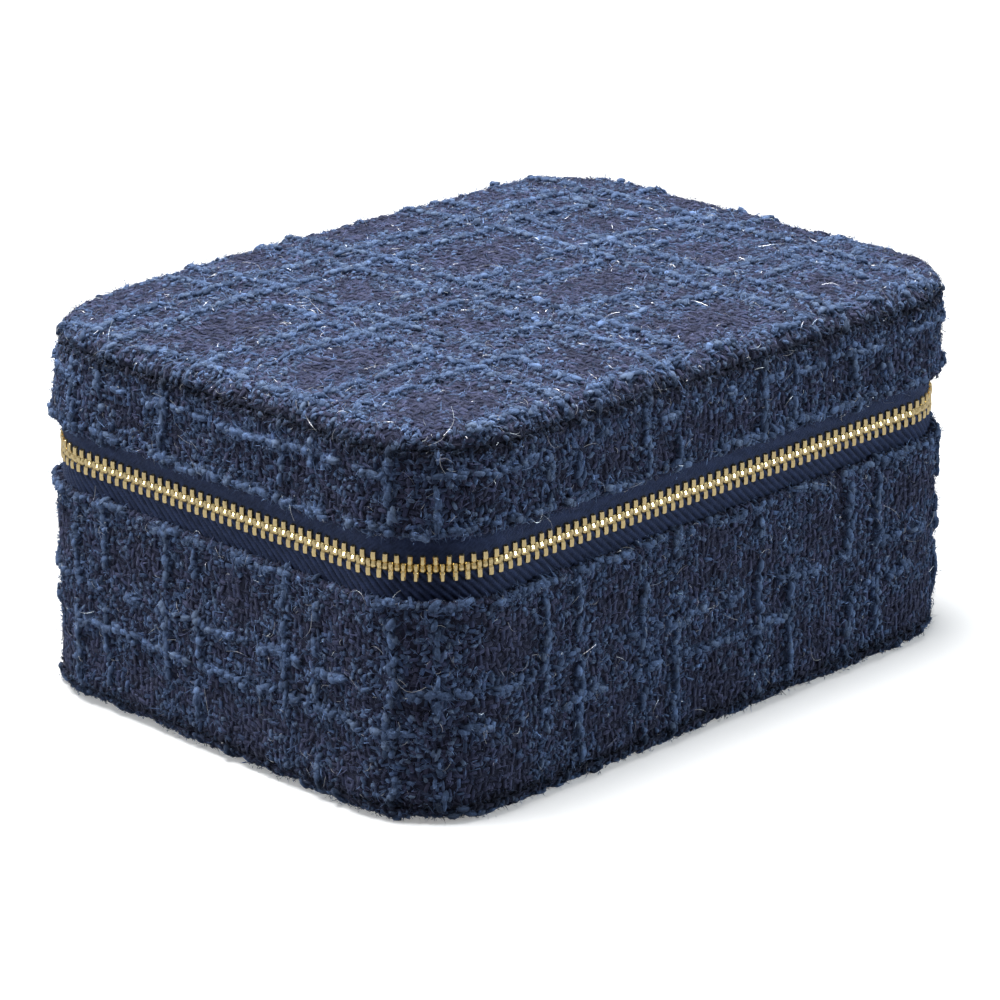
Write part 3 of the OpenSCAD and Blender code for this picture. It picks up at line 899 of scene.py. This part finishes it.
# one tooth: height along it from the zip's line, half its depth through the
# tape and half its width along the tape, from the legs to the head
TOOTH_STATIONS = np.array([
    [2.42, 0.58, 0.38],
    [2.22, 0.90, 0.46],
    [1.55, 0.98, 0.47],
    [0.85, 0.92, 0.47],
    [0.55, 0.66, 0.44],
    [-0.05, 0.88, 0.47],
    [-0.48, 0.84, 0.46],
    [-0.82, 0.60, 0.38],
])
# corners of its section, in half depths and half widths
TOOTH_RING_N = np.array([1.0, 0.70, -0.70, -1.0, -1.0, -0.70, 0.70, 1.0])
TOOTH_RING_T = np.array([0.55, 1.0, 1.0, 0.55, -0.55, -1.0, -1.0, -0.55])
TOOTH_ENDS = (2.43, -0.84)


def chain_teeth(name, node, up, seed):
    """A row of teeth clenched on one tape. One tooth is a bar whose section is
    a rectangle with cut corners, its half sizes changing along it from the
    legs to the waist and the head. Copies stand along the plan at the places
    of the CAD row's own solids, each tilted a little."""
    _, places, normals = metal_places(frame["nodes"][node])
    n = TOOTH_STATIONS[:, 1][:, None] * TOOTH_RING_N[None]
    t = TOOTH_STATIONS[:, 2][:, None] * TOOTH_RING_T[None]
    v = np.broadcast_to(up * TOOTH_STATIONS[:, 0][:, None], n.shape)
    rows, m = n.shape
    local = np.stack([n, t, v], -1).reshape(-1, 3)
    local = np.concatenate([local, [[0, 0, up * end] for end in TOOTH_ENDS]])
    ring = np.arange(m)
    tris = np.concatenate([fan(ring, rows * m)[:, ::-1], fan((rows - 1) * m + ring, rows * m + 1)])
    count = len(places)
    tilt = np.random.default_rng(seed).normal(0, 0.02, count)
    out = local[None, :, 0, None]
    along = (local[None, :, 1] + tilt[:, None] * local[None, :, 2])[..., None]
    tangents = np.stack([-normals[:, 1], normals[:, 0]], -1)
    xy = places[:, None] + normals[:, None] * out + tangents[:, None] * along
    z = np.broadcast_to(ZIP_Z + local[None, :, 2], xy.shape[:2])
    points = np.concatenate([xy, z[..., None]], -1).reshape(-1, 3)
    quads = repeated(grid_faces(rows, m, False, True), count, len(local))
    obj = new_piece(name, points, quads, tris=repeated(tris, count, len(local)))
    return tidy_normals(obj, smooth=False)


def metal_places(node):
    """Distance along the plan of each loose solid of a CAD node on the chain,
    in order, with its point on the chain's line and the outward direction
    there. Corners that share a place are one; the lowest corner number is
    passed round every triangle until each solid holds a single number."""
    co = np.zeros(len(node.data.vertices) * 3, np.float32)
    node.data.vertices.foreach_get("co", co)
    co = co.reshape(-1, 3).astype(float) / MM
    corners = np.zeros(len(node.data.loops), np.int32)
    node.data.loops.foreach_get("vertex_index", corners)
    same, index = np.unique(np.round(co, 3), axis=0, return_inverse=True)
    tris = index.ravel()[corners].reshape(-1, 3)
    label = np.arange(len(same))
    while True:
        lower = label.copy()
        np.minimum.at(lower, tris, label[tris].min(axis=1)[:, None])
        if (lower == label).all():
            break
        label = lower
    solids, owner = np.unique(label, return_inverse=True)
    lo = np.full((len(solids), 3), np.inf)
    hi = np.full((len(solids), 3), -np.inf)
    np.minimum.at(lo, owner, same)
    np.maximum.at(hi, owner, same)
    middle = (lo + hi) / 2
    fine_step = 0.05
    u = np.arange(0, outline_length(), fine_step)
    x, y, nx, ny = outline(u, CHAIN_IN)
    gap = (x[None] - middle[:, :1]) ** 2 + (y[None] - middle[:, 1:2]) ** 2
    near = np.sort(np.argmin(gap, axis=1))
    return u[near], np.stack([x, y], -1)[near], np.stack([nx, ny], -1)[near]


def soft_block(name, node, bevel, segments=3, angle=35):
    """A copy of a CAD node with its doubles merged and its edges rounded."""
    source = frame["nodes"][node]
    bm = bmesh.new()
    bm.from_mesh(source.data)
    bmesh.ops.remove_doubles(bm, verts=bm.verts, dist=1e-6)
    bmesh.ops.dissolve_limit(bm, angle_limit=radians(2), verts=bm.verts, edges=bm.edges)
    bmesh.ops.recalc_face_normals(bm, faces=bm.faces)
    mesh = bpy.data.meshes.new(name)
    bm.to_mesh(mesh)
    bm.free()
    mesh.polygons.foreach_set("use_smooth", np.ones(len(mesh.polygons), bool))
    obj = bpy.data.objects.new(name, mesh)
    bpy.context.scene.collection.objects.link(obj)
    mod = obj.modifiers.new("Rounded edges", "BEVEL")
    mod.width = bevel * MM
    mod.segments = segments
    mod.limit_method = "ANGLE"
    mod.angle_limit = radians(angle)
    mod.harden_normals = True
    return obj


def ring_roll(name, node):
    """Padded roll: its place along is sign(q)*|sin(q)|^0.55 and its radius
    R*cos(q)^0.3 for q in -pi/2..pi/2, with a small tuck at the seam near each
    end and slight lumps."""
    rows, cols = 90, 64
    lo, hi = box_mm(node)
    cx, cy, cz = (hi + lo) / 2
    r = (hi[1] - lo[1]) / 2
    half = (hi[0] - lo[0]) / 2
    q = np.linspace(-pi / 2, pi / 2, rows)
    s = np.sign(q) * np.abs(np.sin(q)) ** 0.55
    tuck = 0.35 * np.exp(-((np.abs(s) * half - (half - 3.2)) / 0.5) ** 2)
    rad = (r * np.clip(np.cos(q), 0, 1) ** 0.30 - tuck)[:, None]
    aa, ss = np.meshgrid(np.arange(cols) / cols * 2 * pi, s)
    lump = 1 - 0.02 * grain(ss * 7 + 9, np.cos(aa) * 2 + 5, 500 + int(cy))
    x = cx + half * ss
    p = np.stack([x, cy + rad * np.cos(aa) * lump, cz + rad * np.sin(aa) * lump], -1)
    points = np.concatenate([p.reshape(-1, 3), [[cx - half, cy, cz]], [[cx + half, cy, cz]]])
    ring = np.arange(cols)
    last = (rows - 1) * cols
    tris = np.concatenate([fan(ring, rows * cols), fan(last + ring, rows * cols + 1)[:, ::-1]])
    return tidy_normals(new_piece(name, points, grid_faces(rows, cols, False, True), tris=tris))


def lining_ring(name, node, rim_up):
    """Suede lining: a strip carried round the plan, from the foot of the wall
    to its rim and turned outwards over the board, with a soft fold."""
    columns, steps = 560, 8
    thick, board, glue = 1.0, 2.1, 0.02
    lo, hi = box_mm(node)
    foot, rim = (lo[2], hi[2]) if rim_up else (hi[2], lo[2])
    s = 1 if rim_up else -1
    outer = CASE_W / 2 - hi[0]
    wall = outer + board
    shoulder = rim - s * thick
    rows = [(wall + glue, foot), (wall + thick, foot)]
    rows += [(wall + thick, foot + (shoulder - foot) * k / steps) for k in range(1, steps + 1)]
    for k in range(1, steps + 1):
        a = pi / 2 * k / steps
        rows.append((wall + thick * cos(a), shoulder + s * thick * sin(a)))
    rows += [
        (outer + 0.5, rim), (outer + 0.1, rim - s * 0.15), (outer, rim - s * 0.5),
        (outer + 0.05, shoulder), (wall + glue, shoulder),
    ]
    u = np.arange(columns) * outline_length() / columns
    p, _, _ = carried(np.array(rows), u)
    faces = grid_faces(len(rows), columns, True, True)
    return tidy_normals(new_piece(name, p.reshape(-1, 3), faces))


def spine_cloth(name):
    """Woven strip across the hinge: a closed flat strip with fine slanting
    ribs, height a*|cos(pi*(x + 0.8*z)/pitch)|^0.7, that fade at its ends."""
    cols, rows = 300, 26
    pitch, ridge, drop = 1.15, 0.14, 0.12
    xs = np.linspace(SPINE_LO[0], SPINE_HI[0], cols)
    zs = np.linspace(SPINE_LO[2], SPINE_HI[2], rows)
    zz, xx = np.meshgrid(zs, xs, indexing="ij")
    rib = np.abs(np.cos(pi * (xx + 0.8 * zz) / pitch)) ** 0.7
    fade = soft_step(np.minimum(xx - SPINE_LO[0], SPINE_HI[0] - xx), 0, 0.6)
    front = np.stack([xx, SPINE_HI[1] - drop + ridge * rib * fade, zz], -1)
    back = np.stack([xx, np.full_like(xx, SPINE_LO[1]), zz], -1)[::-1]
    p = np.concatenate([front, back])
    # painted light on the rib crests and painted shade in their grooves on the front; the back is
    # plain
    painted_rib_shading = np.concatenate([0.4 + 1.1 * rib, np.ones_like(rib)])
    return capped_strip(name, p, p[..., [0, 2]], painted_rib_shading)


# ---------------------------------------------------------------- materials


class Nodes:
    """Short hand for building one node tree."""

    def __init__(self, tree):
        self.tree = tree

    def add(self, kind, inputs=None, **values):
        node = self.tree.nodes.new(kind)
        for key, value in values.items():
            setattr(node, key, value)
        return self.set(node, inputs or {})

    def set(self, node, inputs):
        for key, value in inputs.items():
            node.inputs[key].default_value = value
        return node

    def link(self, a, b):
        self.tree.links.new(a, b)


def nap_group():
    """Pile grain: fine noise and streaks at a given scale. Puts out a tone
    around 1 and a height for bump."""
    name = "Nap"
    if name in bpy.data.node_groups:
        return bpy.data.node_groups[name]
    group = bpy.data.node_groups.new(name, "ShaderNodeTree")
    for socket, way, kind in (
        ("Vector", "INPUT", "NodeSocketVector"),
        ("Fine Scale", "INPUT", "NodeSocketFloat"),
        ("Broad Scale", "INPUT", "NodeSocketFloat"),
        ("Tone", "OUTPUT", "NodeSocketFloat"),
        ("Height", "OUTPUT", "NodeSocketFloat"),
    ):
        group.interface.new_socket(socket, in_out=way, socket_type=kind)
    g = Nodes(group)
    source = g.add("NodeGroupInput")
    out = g.add("NodeGroupOutput")
    fine = g.add("ShaderNodeTexNoise", {"Detail": 4, "Roughness": 0.7})
    broad = g.add("ShaderNodeTexNoise", {"Detail": 3, "Distortion": 0.6})
    both = g.add("ShaderNodeMath", operation="ADD")
    for k, (noise, scale) in enumerate(((fine, "Fine Scale"), (broad, "Broad Scale"))):
        g.link(source.outputs["Vector"], noise.inputs["Vector"])
        g.link(source.outputs[scale], noise.inputs["Scale"])
        g.link(noise.outputs["Fac"], both.inputs[k])
    g.link(both.outputs[0], out.inputs["Tone"])
    g.link(fine.outputs["Fac"], out.inputs["Height"])
    return group


def spread_of(g, nap, low, high):
    """The nap's tone, which runs from 0.7 to 1.3, as a value from low to high."""
    limits = {"From Min": 0.7, "From Max": 1.3, "To Min": low, "To Max": high}
    node = g.add("ShaderNodeMapRange", limits)
    g.link(nap.outputs["Tone"], node.inputs["Value"])
    return node.outputs["Result"]


def napped(name, colour, rough, specular=0.5, metal=0.0, sheen=0.0, sheen_rough=0.4,
           sheen_tint=(1, 1, 1), bump=0.0, distance=0.0002, fine=900.0, broad=120.0,
           spread=0.15, rough_spread=0.0):
    """A material of one colour, or of the piece's own yarn colours where
    colour is None, varied by the nap, with bump and roughness from it."""
    mat = bpy.data.materials.new(name)
    mat.use_nodes = True
    g = Nodes(mat.node_tree)
    shader = g.set(mat.node_tree.nodes["Principled BSDF"], {
        "Roughness": rough, "Specular IOR Level": specular, "Metallic": metal})
    if sheen:
        g.set(shader, {
            "Sheen Weight": sheen, "Sheen Roughness": sheen_rough, "Sheen Tint": (*sheen_tint, 1)})
    place = g.add("ShaderNodeTexCoord")
    scales = {"Fine Scale": fine, "Broad Scale": broad}
    nap = g.add("ShaderNodeGroup", scales, node_tree=nap_group())
    g.link(place.outputs["Object"], nap.inputs["Vector"])
    mix = g.add("ShaderNodeVectorMath", operation="SCALE")
    if colour is None:
        yarn = g.add("ShaderNodeAttribute", attribute_name="yarn")
        g.link(yarn.outputs["Color"], mix.inputs[0])
    else:
        mix.inputs[0].default_value = colour
    g.link(spread_of(g, nap, 1 - spread, 1 + spread), mix.inputs["Scale"])
    g.link(mix.outputs["Vector"], shader.inputs["Base Color"])
    if rough_spread:
        low = max(rough - rough_spread, 0.02)
        g.link(spread_of(g, nap, low, rough + rough_spread), shader.inputs["Roughness"])
    if bump:
        relief = g.add("ShaderNodeBump", {"Strength": bump, "Distance": distance})
        g.link(nap.outputs["Height"], relief.inputs["Height"])
        g.link(relief.outputs["Normal"], shader.inputs["Normal"])
    return mat


# what every woven finish shares
WOVEN = dict(colour=None, specular=0.15, sheen_rough=0.45, sheen_tint=(0.55, 0.62, 0.85),
             distance=0.0004, spread=0.38)


def material(name):
    """The case's finishes by name, each made the first time it is asked for."""
    if name in bpy.data.materials:
        return bpy.data.materials[name]
    trim = bpy.context.scene.case_trim
    glint = bpy.context.scene.case_cloth.glint
    finishes = {
        "Tweed": dict(WOVEN, rough=0.92, sheen=0.25, bump=0.5, fine=2600.0, broad=420.0),
        "Yarn": dict(WOVEN, rough=0.85, sheen=0.25, bump=0.5, fine=3200.0, broad=700.0),
        "Zip tape": dict(WOVEN, rough=0.7, sheen=0.3, bump=0.4, fine=3500.0, broad=700.0),
        "Metal thread": dict(colour=glint, rough=0.42, metal=1.0),
        "Zip brass": dict(
            colour=trim.brass, rough=0.21, metal=1.0, bump=0.06, fine=1500.0, broad=300.0,
            spread=0.10, rough_spread=0.08),
        "Suede": dict(
            colour=trim.suede, rough=0.95, sheen=0.5, bump=0.35, fine=2500.0, broad=90.0,
            spread=0.14, specular=0.15),
        "Board": dict(colour=(0.42, 0.35, 0.26), rough=0.9, bump=0.2, fine=1200.0, broad=200.0),
        "Foam": dict(colour=(0.80, 0.80, 0.76), rough=0.95, bump=0.4, fine=1800.0, broad=500.0),
        "Mirror": dict(colour=(0.93, 0.95, 0.95), rough=0.015, metal=1.0, spread=0.01),
    }
    return napped(name, **finishes[name])


def dress(obj, finish):
    """Gives a piece its finish and nothing else."""
    obj.data.materials.clear()
    obj.data.materials.append(material(finish))


def settle(obj, body, slot, finish, *replaced):
    """Gives a piece its finish and its body, and hides the CAD nodes it stands for. slot is not used.
    """
    dress(obj, finish)
    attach(obj, body)
    if replaced:
        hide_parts(*replaced)


# ---------------------------------------------------------------- operators

# each tweed cover built so far, with the points its yarn grows from
ROOTS = {}


class CASE_OT_side_covers(bpy.types.Operator):
    """Builds the tweed bands round the base and the lid"""

    bl_idname = "case.side_covers"
    bl_label = "Side covers"

    def execute(self, context):
        total = outline_length()
        # the upright cords are placed from where the rear left corner ends
        corner_end = CASE_W / 2 - CORNER_R + CORNER_R * pi / 2
        first_cord = corner_end - 86.0
        for key, body, levels, gap, seed in (
            ("base", "base", (14.5, 22.0, 38.2), 8.5, 11),
            ("lid", "lid", (1.5, 11.5), 8.0, 23),
        ):
            node = f"{key}_side_cover"
            lo, hi = box_mm(node)
            uprights = cord_places(first_cord, (31.5, 25.5), gap, 0, total)
            cords = ((uprights, True, 0.45), ([lo[2] + level for level in levels], False, 0.50))
            obj, roots = band_of_cloth(
                f"{key}_tweed_band", lo[2], hi[2], cords, seed, context.scene.case_cloth, key == "lid")
            settle(obj, body, "cover_cloth", "Tweed", node)
            ROOTS[key] = (obj, roots)
        return {"FINISHED"}


class CASE_OT_panels(bpy.types.Operator):
    """Builds the padded tweed top and the tweed bottom panel"""

    bl_idname = "case.panels"
    bl_label = "Top and bottom panels"

    def execute(self, context):
        cloth = context.scene.case_cloth
        half_w, half_d = CASE_W / 2, CASE_D / 2
        uprights = cord_places(-half_w - 0.5, (39.0, 27.0), 8.0, -half_w, half_w)
        levels = cord_places(-58.0, (30.0, 28.5, 31.0), 9.0, -half_d, half_d)
        cords = ((uprights, True, 0.55), (levels, False, 0.52))
        crown, inset = 1.5, 0.5
        edge = TOP_HI[2] - TOP_LO[2] - 1.7
        obj, roots = cushion_sheet(
            "lid_tweed_top", half_w - inset, half_d - inset, CORNER_R - inset, TOP_LO[2], edge, crown,
            0.63, cords, 37, cloth, 0.25)
        settle(obj, "lid", "cover_cloth", "Tweed", "lid_top_cover")
        ROOTS["top"] = (obj, roots)
        inset = 0.1
        obj, roots = cushion_sheet(
            "base_tweed_bottom", half_w - inset, half_d - inset, CORNER_R - inset, BOTTOM_HI[2] + 0.2,
            BOTTOM_HI[2] - 0.2, 0.0, 0.74, cords, 41, cloth, 0.7, up=-1, press=0.5, rim_only=True)
        settle(obj, "base", "cover_cloth", "Tweed", "base_bottom_cover")
        ROOTS["bottom"] = (obj, roots)
        return {"FINISHED"}


def yarn_pieces(name, roots, cloth, share, k):
    """All the yarn of one cover: two sets of ground floats, the cords and
    their pile, wool lying along the floats and fuzz standing off the cloth."""
    weave(roots, cloth)
    rng = np.random.default_rng(700 + k)
    cord, ground = np.array(cloth.cord), np.array(cloth.ground)
    p, n = roots["p"], roots["n"]
    pieces = [
        ground_yarn(f"{name}_warp", roots, True, cloth),
        ground_yarn(f"{name}_weft", roots, False, cloth),
        chenille(f"{name}_chenille", roots, cloth),
    ]
    tuft = roots["tuft"]
    pick = rng.choice(len(tuft["p"]), int(len(tuft["p"]) * 4.8 * share))
    pieces.append(fibres(
        f"{name}_pile", tuft["p"][pick], tuft["n"][pick], tuft["c"][pick],
        0.80, 0.125, 0.42, (0.05, 1.3), 100 + k))
    weight = (roots["w"] > FIBRES_FROM) / np.sum(roots["w"] > FIBRES_FROM)
    pick = rng.choice(len(weight), int(min(roots["area"] * 2.2, 35000) * share), p=weight)
    blue = (roots["blue"][pick] ^ (rng.random(len(pick)) < 0.06))[:, None]
    # each cell's own random tone, times the painted shade beside the seams
    tone = np.where(blue, cord, ground) * (roots["tone"] * roots["shade"])[pick][:, None]
    root = p[pick] + n[pick] * rng.uniform(0.15, 0.55, (len(pick), 1))
    angle = roots["lay"][pick] + rng.normal(0, 0.25, len(pick))
    pieces.append(fibres(
        f"{name}_wool", root, n[pick], tone, 1.40, 0.145, 0.10, (-0.05, 0.32), 200 + k,
        turned(roots, pick, angle)))
    pick = rng.choice(len(weight), int(roots["area"] * 0.42 * share), p=weight)
    tone = np.where(rng.random((len(pick), 1)) < 0.5, cord, ground) * 1.2
    pieces.append(fibres(
        f"{name}_fuzz", p[pick] + n[pick] * 0.5, n[pick], tone, 1.5, 0.05, 0.15, (0.4, 3.0), 400 + k))
    return pieces


class CASE_OT_yarn(bpy.types.Operator):
    """Lays the ground yarn, the chenille cords, loose pile and metal threads"""

    bl_idname = "case.yarn"
    bl_label = "Yarn and fibres"

    def execute(self, context):
        cloth = context.scene.case_cloth
        share = cloth.fibres
        total = outline_length()
        # name, body, flat size (mm) with what is turned in, and what is under it
        covers = {
            "base": ("base_band", "base", (total, BASE_HI[2] - BASE_LO[2] + 4), "base_wall_board"),
            "lid": ("lid_band", "lid", (total, LID_HI[2] - LID_LO[2] + 4), "lid_wall_board"),
            "top": ("lid_top", "lid", (CASE_W + 4, CASE_D + 4), "lid_foam_pad"),
            "bottom": ("base_bottom", "base", (CASE_W + 2, CASE_D + 2), "base_floor_board"),
        }
        for k, (where, (cover, roots)) in enumerate(ROOTS.items()):
            name, body, flat, under = covers[where]
            pieces = yarn_pieces(name, roots, cloth, share, k)
            for piece in pieces:
                settle(piece, body, "cover_cloth", "Yarn")
            if where != "bottom":
                count = int(roots["area"] * (0.085 if where == "top" else 0.055))
                glint = metal_threads(f"{name}_metal_threads", roots, count, 300 + k)
                settle(glint, body, "cover_cloth", "Metal thread")
                pieces.append(glint)
        return {"FINISHED"}


class CASE_OT_zip_tapes(bpy.types.Operator):
    """Builds the two ribbed zip tapes and the spine cloth"""

    bl_idname = "case.zip_tapes"
    bl_label = "Zip tapes and spine"

    def execute(self, context):
        for body, edge_up, node, seed in (
            ("base", True, "zip_tape_lower", 61),
            ("lid", False, "zip_tape_upper", 67),
        ):
            lo, hi = box_mm(node)
            obj = tape_strip(f"zip_tape_on_{body}", lo[2], hi[2], edge_up, seed)
            settle(obj, body, "tape_cloth", "Zip tape", node)
        obj = spine_cloth("spine_strip")
        dress(obj, "Zip tape")
        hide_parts("hinge_spine")
        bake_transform(obj)
        return {"FINISHED"}


class CASE_OT_zip_metal(bpy.types.Operator):
    """Builds both rows of teeth, the end stops, the slider and the pull"""

    bl_idname = "case.zip_metal"
    bl_label = "Zip metal"

    def execute(self, context):
        for body, node, up, seed in (
            ("base", "zip_teeth_lower", -1, 8),
            ("lid", "zip_teeth_upper", 1, 7),
        ):
            obj = chain_teeth(f"teeth_on_{body}", node, up, seed)
            settle(obj, body, "zip_metal", "Zip brass", node)
        for name, node, body, bevel in (
            ("stops_on_base", "zip_stops_lower", "base", 0.2),
            ("stops_on_lid", "zip_stops_upper", "lid", 0.2),
            ("slider", "slider_body", "zip_slider", 0.18),
            ("slider_arch", "slider_bridge", "zip_slider", 0.25),
            ("pull", "pull_tab", "puller", 0.25),
        ):
            settle(soft_block(name, node, bevel), body, "zip_metal", "Zip brass", node)
        return {"FINISHED"}


class CASE_OT_linings(bpy.types.Operator):
    """Builds the suede linings of the base and the lid"""

    bl_idname = "case.linings"
    bl_label = "Linings"

    def execute(self, context):
        for body, rim_up in (("base", True), ("lid", False)):
            node = f"{body}_wall_lining"
            obj = lining_ring(f"{body}_suede_wall", node, rim_up)
            settle(obj, body, "suede", "Suede", node)
        for name, node, body, board in (
            ("base_suede_floor", "base_floor_lining", "base", "base_floor_board"),
            ("lid_suede_ceiling", "lid_top_lining", "lid", "lid_top_board"),
        ):
            obj = soft_block(name, node, 0.3)
            settle(obj, body, "suede", "Suede", node)
        return {"FINISHED"}


class CASE_OT_inside(bpy.types.Operator):
    """Builds the ring tray, ring rolls, dividers and the mirror's border"""

    bl_idname = "case.inside"
    bl_label = "Inside fittings"

    def execute(self, context):
        obj = soft_block("ring_bed", "ring_tray", 0.9, 4)
        settle(obj, "base", "suede", "Suede", "ring_tray")
        for k in range(1, 7):
            node = f"ring_roll_{k}"
            obj = ring_roll(f"ring_roll_pad_{k}", node)
            settle(obj, "base", "suede", "Suede", node)
        for node in ("divider_long", "divider_cross", "divider_short"):
            settle(soft_block(f"{node}_suede", node, 0.7, 4), "base", "suede", "Suede", node)
        obj = soft_block("mirror_border", "mirror_frame", 0.6)
        settle(obj, "lid", "suede", "Suede", "mirror_frame")
        return {"FINISHED"}


class CASE_OT_stiffeners(bpy.types.Operator):
    """Builds the foam pad and gives the boards and the mirror their finishes"""

    bl_idname = "case.stiffeners"
    bl_label = "Boards, foam and mirror"

    def execute(self, context):
        for node in ("base_floor_board", "base_wall_board", "lid_wall_board", "lid_top_board"):
            dress(frame["nodes"][node], "Board")
        dress(frame["nodes"]["mirror_glass"], "Mirror")
        obj = soft_block("lid_foam_pad", "lid_foam", 0.2, 2)
        settle(obj, "lid", "foam", "Foam", "lid_foam")
        return {"FINISHED"}


def seen_apart(tree, seen, dim, out, glossy_share):
    """Shows one shader to the camera and the other to every other ray;
    mirror-like rays see a share of the first."""
    g = Nodes(tree)
    ray = g.add("ShaderNodeLightPath")
    mix = g.add("ShaderNodeMixShader")
    shine = g.add("ShaderNodeMath", {1: glossy_share}, operation="MULTIPLY")
    either = g.add("ShaderNodeMath", operation="MAXIMUM")
    g.link(ray.outputs["Is Camera Ray"], either.inputs[0])
    g.link(ray.outputs["Is Glossy Ray"], shine.inputs[0])
    g.link(shine.outputs["Value"], either.inputs[1])
    g.link(either.outputs["Value"], mix.inputs["Fac"])
    g.link(dim.outputs[0], mix.inputs[1])
    g.link(seen.outputs[0], mix.inputs[2])
    g.link(mix.outputs["Shader"], out.inputs["Surface"])


def place_at(context, name, data, place, way):
    """Puts a light or the camera in the scene, looking along way."""
    obj = bpy.data.objects.new(name, data)
    obj.location = place
    obj.rotation_euler = way.to_track_quat("-Z", "Y").to_euler()
    context.scene.collection.objects.link(obj)
    return obj


class CASE_OT_stage(bpy.types.Operator):
    """Sets the pale floor, the studio lights, the backdrop and the camera"""

    bl_idname = "case.stage"
    bl_label = "Stage"

    def floor(self, context):
        """A pale floor, white to the camera and dim to every other ray."""
        half = 5.0
        mesh = bpy.data.meshes.new("floor")
        corners = [(-half, -half, 0), (half, -half, 0), (half, half, 0), (-half, half, 0)]
        mesh.from_pydata(corners, [], [(0, 1, 2, 3)])
        floor = bpy.data.objects.new("floor", mesh)
        context.scene.collection.objects.link(floor)
        mat = bpy.data.materials.new("Pale floor")
        mat.use_nodes = True
        g = Nodes(mat.node_tree)
        seen = g.set(mat.node_tree.nodes["Principled BSDF"], {
            "Base Color": (0.92, 0.92, 0.92, 1), "Roughness": 0.9, "Specular IOR Level": 0.1,
            "Emission Color": (1, 1, 1, 1), "Emission Strength": 0.30})
        dim = g.add("ShaderNodeBsdfDiffuse", {"Color": (0.24, 0.24, 0.25, 1)})
        seen_apart(mat.node_tree, seen, dim, mat.node_tree.nodes["Material Output"], 0.12)
        mesh.materials.append(mat)

    def lights(self, context):
        """A large soft light overhead and a small cool one on each side."""
        for name, place, height, wide, power, tint in (
            ("overhead", (-0.12, 0.16, 1.25), 0.05, 0.8, 26.0, (1, 1, 1)),
            ("left_fill", (-1.1, 0.9, 0.45), 0.04, 0.45, 6.4, (0.86, 0.96, 1.0)),
            ("front_fill", (1.0, -1.05, 0.45), 0.04, 0.45, 9.8, (0.80, 0.93, 1.0)),
        ):
            light = bpy.data.lights.new(name, "AREA")
            light.shape = "DISK"
            light.size = wide
            light.energy = power
            light.color = tint
            place_at(context, name, light, place, Vector((0, 0, height)) - Vector(place))

    def backdrop(self, context):
        """A white studio round the case, dim to all but the camera."""
        world = bpy.data.worlds.new("studio")
        context.scene.world = world
        world.use_nodes = True
        g = Nodes(world.node_tree)
        dim = g.set(world.node_tree.nodes["Background"], {
            "Color": (0.93, 0.96, 1.0, 1), "Strength": 0.085})
        bright = g.add("ShaderNodeBackground", {"Color": (1, 1, 1, 1), "Strength": 1.0})
        seen_apart(world.node_tree, bright, dim, world.node_tree.nodes["World Output"], 0.26)
        context.scene.view_settings.view_transform = "Standard"

    def camera(self, context):
        """A long lens on the corner nearest the eye, a little above the lid."""
        azimuth, elevation, distance = radians(-45.43), radians(19.64), 0.8363
        aim = Vector((0.0280, 0.0285, 0.0161))
        away = Vector((
            sin(azimuth) * cos(elevation), -cos(azimuth) * cos(elevation), sin(elevation)))
        camera = bpy.data.cameras.new("camera")
        camera.lens = 148.8
        camera.sensor_width = 36.0
        camera.clip_start = 0.01
        camera.clip_end = 20.0
        place = aim + away * distance
        context.scene.camera = place_at(context, "camera", camera, place, -away)

    def execute(self, context):
        self.floor(context)
        self.lights(context)
        self.backdrop(context)
        self.camera(context)
        return {"FINISHED"}


STEPS = (
    CASE_OT_stiffeners,
    CASE_OT_side_covers,
    CASE_OT_panels,
    CASE_OT_yarn,
    CASE_OT_zip_tapes,
    CASE_OT_zip_metal,
    CASE_OT_linings,
    CASE_OT_inside,
    CASE_OT_stage,
)


class CASE_PT_build(bpy.types.Panel):
    """Lists the settings and the building steps"""

    bl_label = "Jewellery case"
    bl_space_type = "VIEW_3D"
    bl_region_type = "UI"
    bl_category = "Case"

    def draw(self, context):
        column = self.layout.column()
        for group in (context.scene.case_cloth, context.scene.case_trim):
            for key in group.__annotations__:
                column.prop(group, key)
        for step in STEPS:
            column.operator(step.bl_idname)


CLASSES = (CaseClothSettings, CaseTrimSettings) + STEPS + (CASE_PT_build,)


def register():
    """Registers the settings, the steps and the panel."""
    for cls in CLASSES:
        bpy.utils.register_class(cls)
    bpy.types.Scene.case_cloth = bpy.props.PointerProperty(type=CaseClothSettings)
    bpy.types.Scene.case_trim = bpy.props.PointerProperty(type=CaseTrimSettings)


def unregister():
    """Takes them away again."""
    del bpy.types.Scene.case_trim
    del bpy.types.Scene.case_cloth
    for cls in reversed(CLASSES):
        bpy.utils.unregister_class(cls)


def main():
    """Builds the case step by step."""
    register()
    for step in STEPS:
        area, name = step.bl_idname.split(".")
        getattr(getattr(bpy.ops, area), name)()


if __name__ == "__main__":
    main()
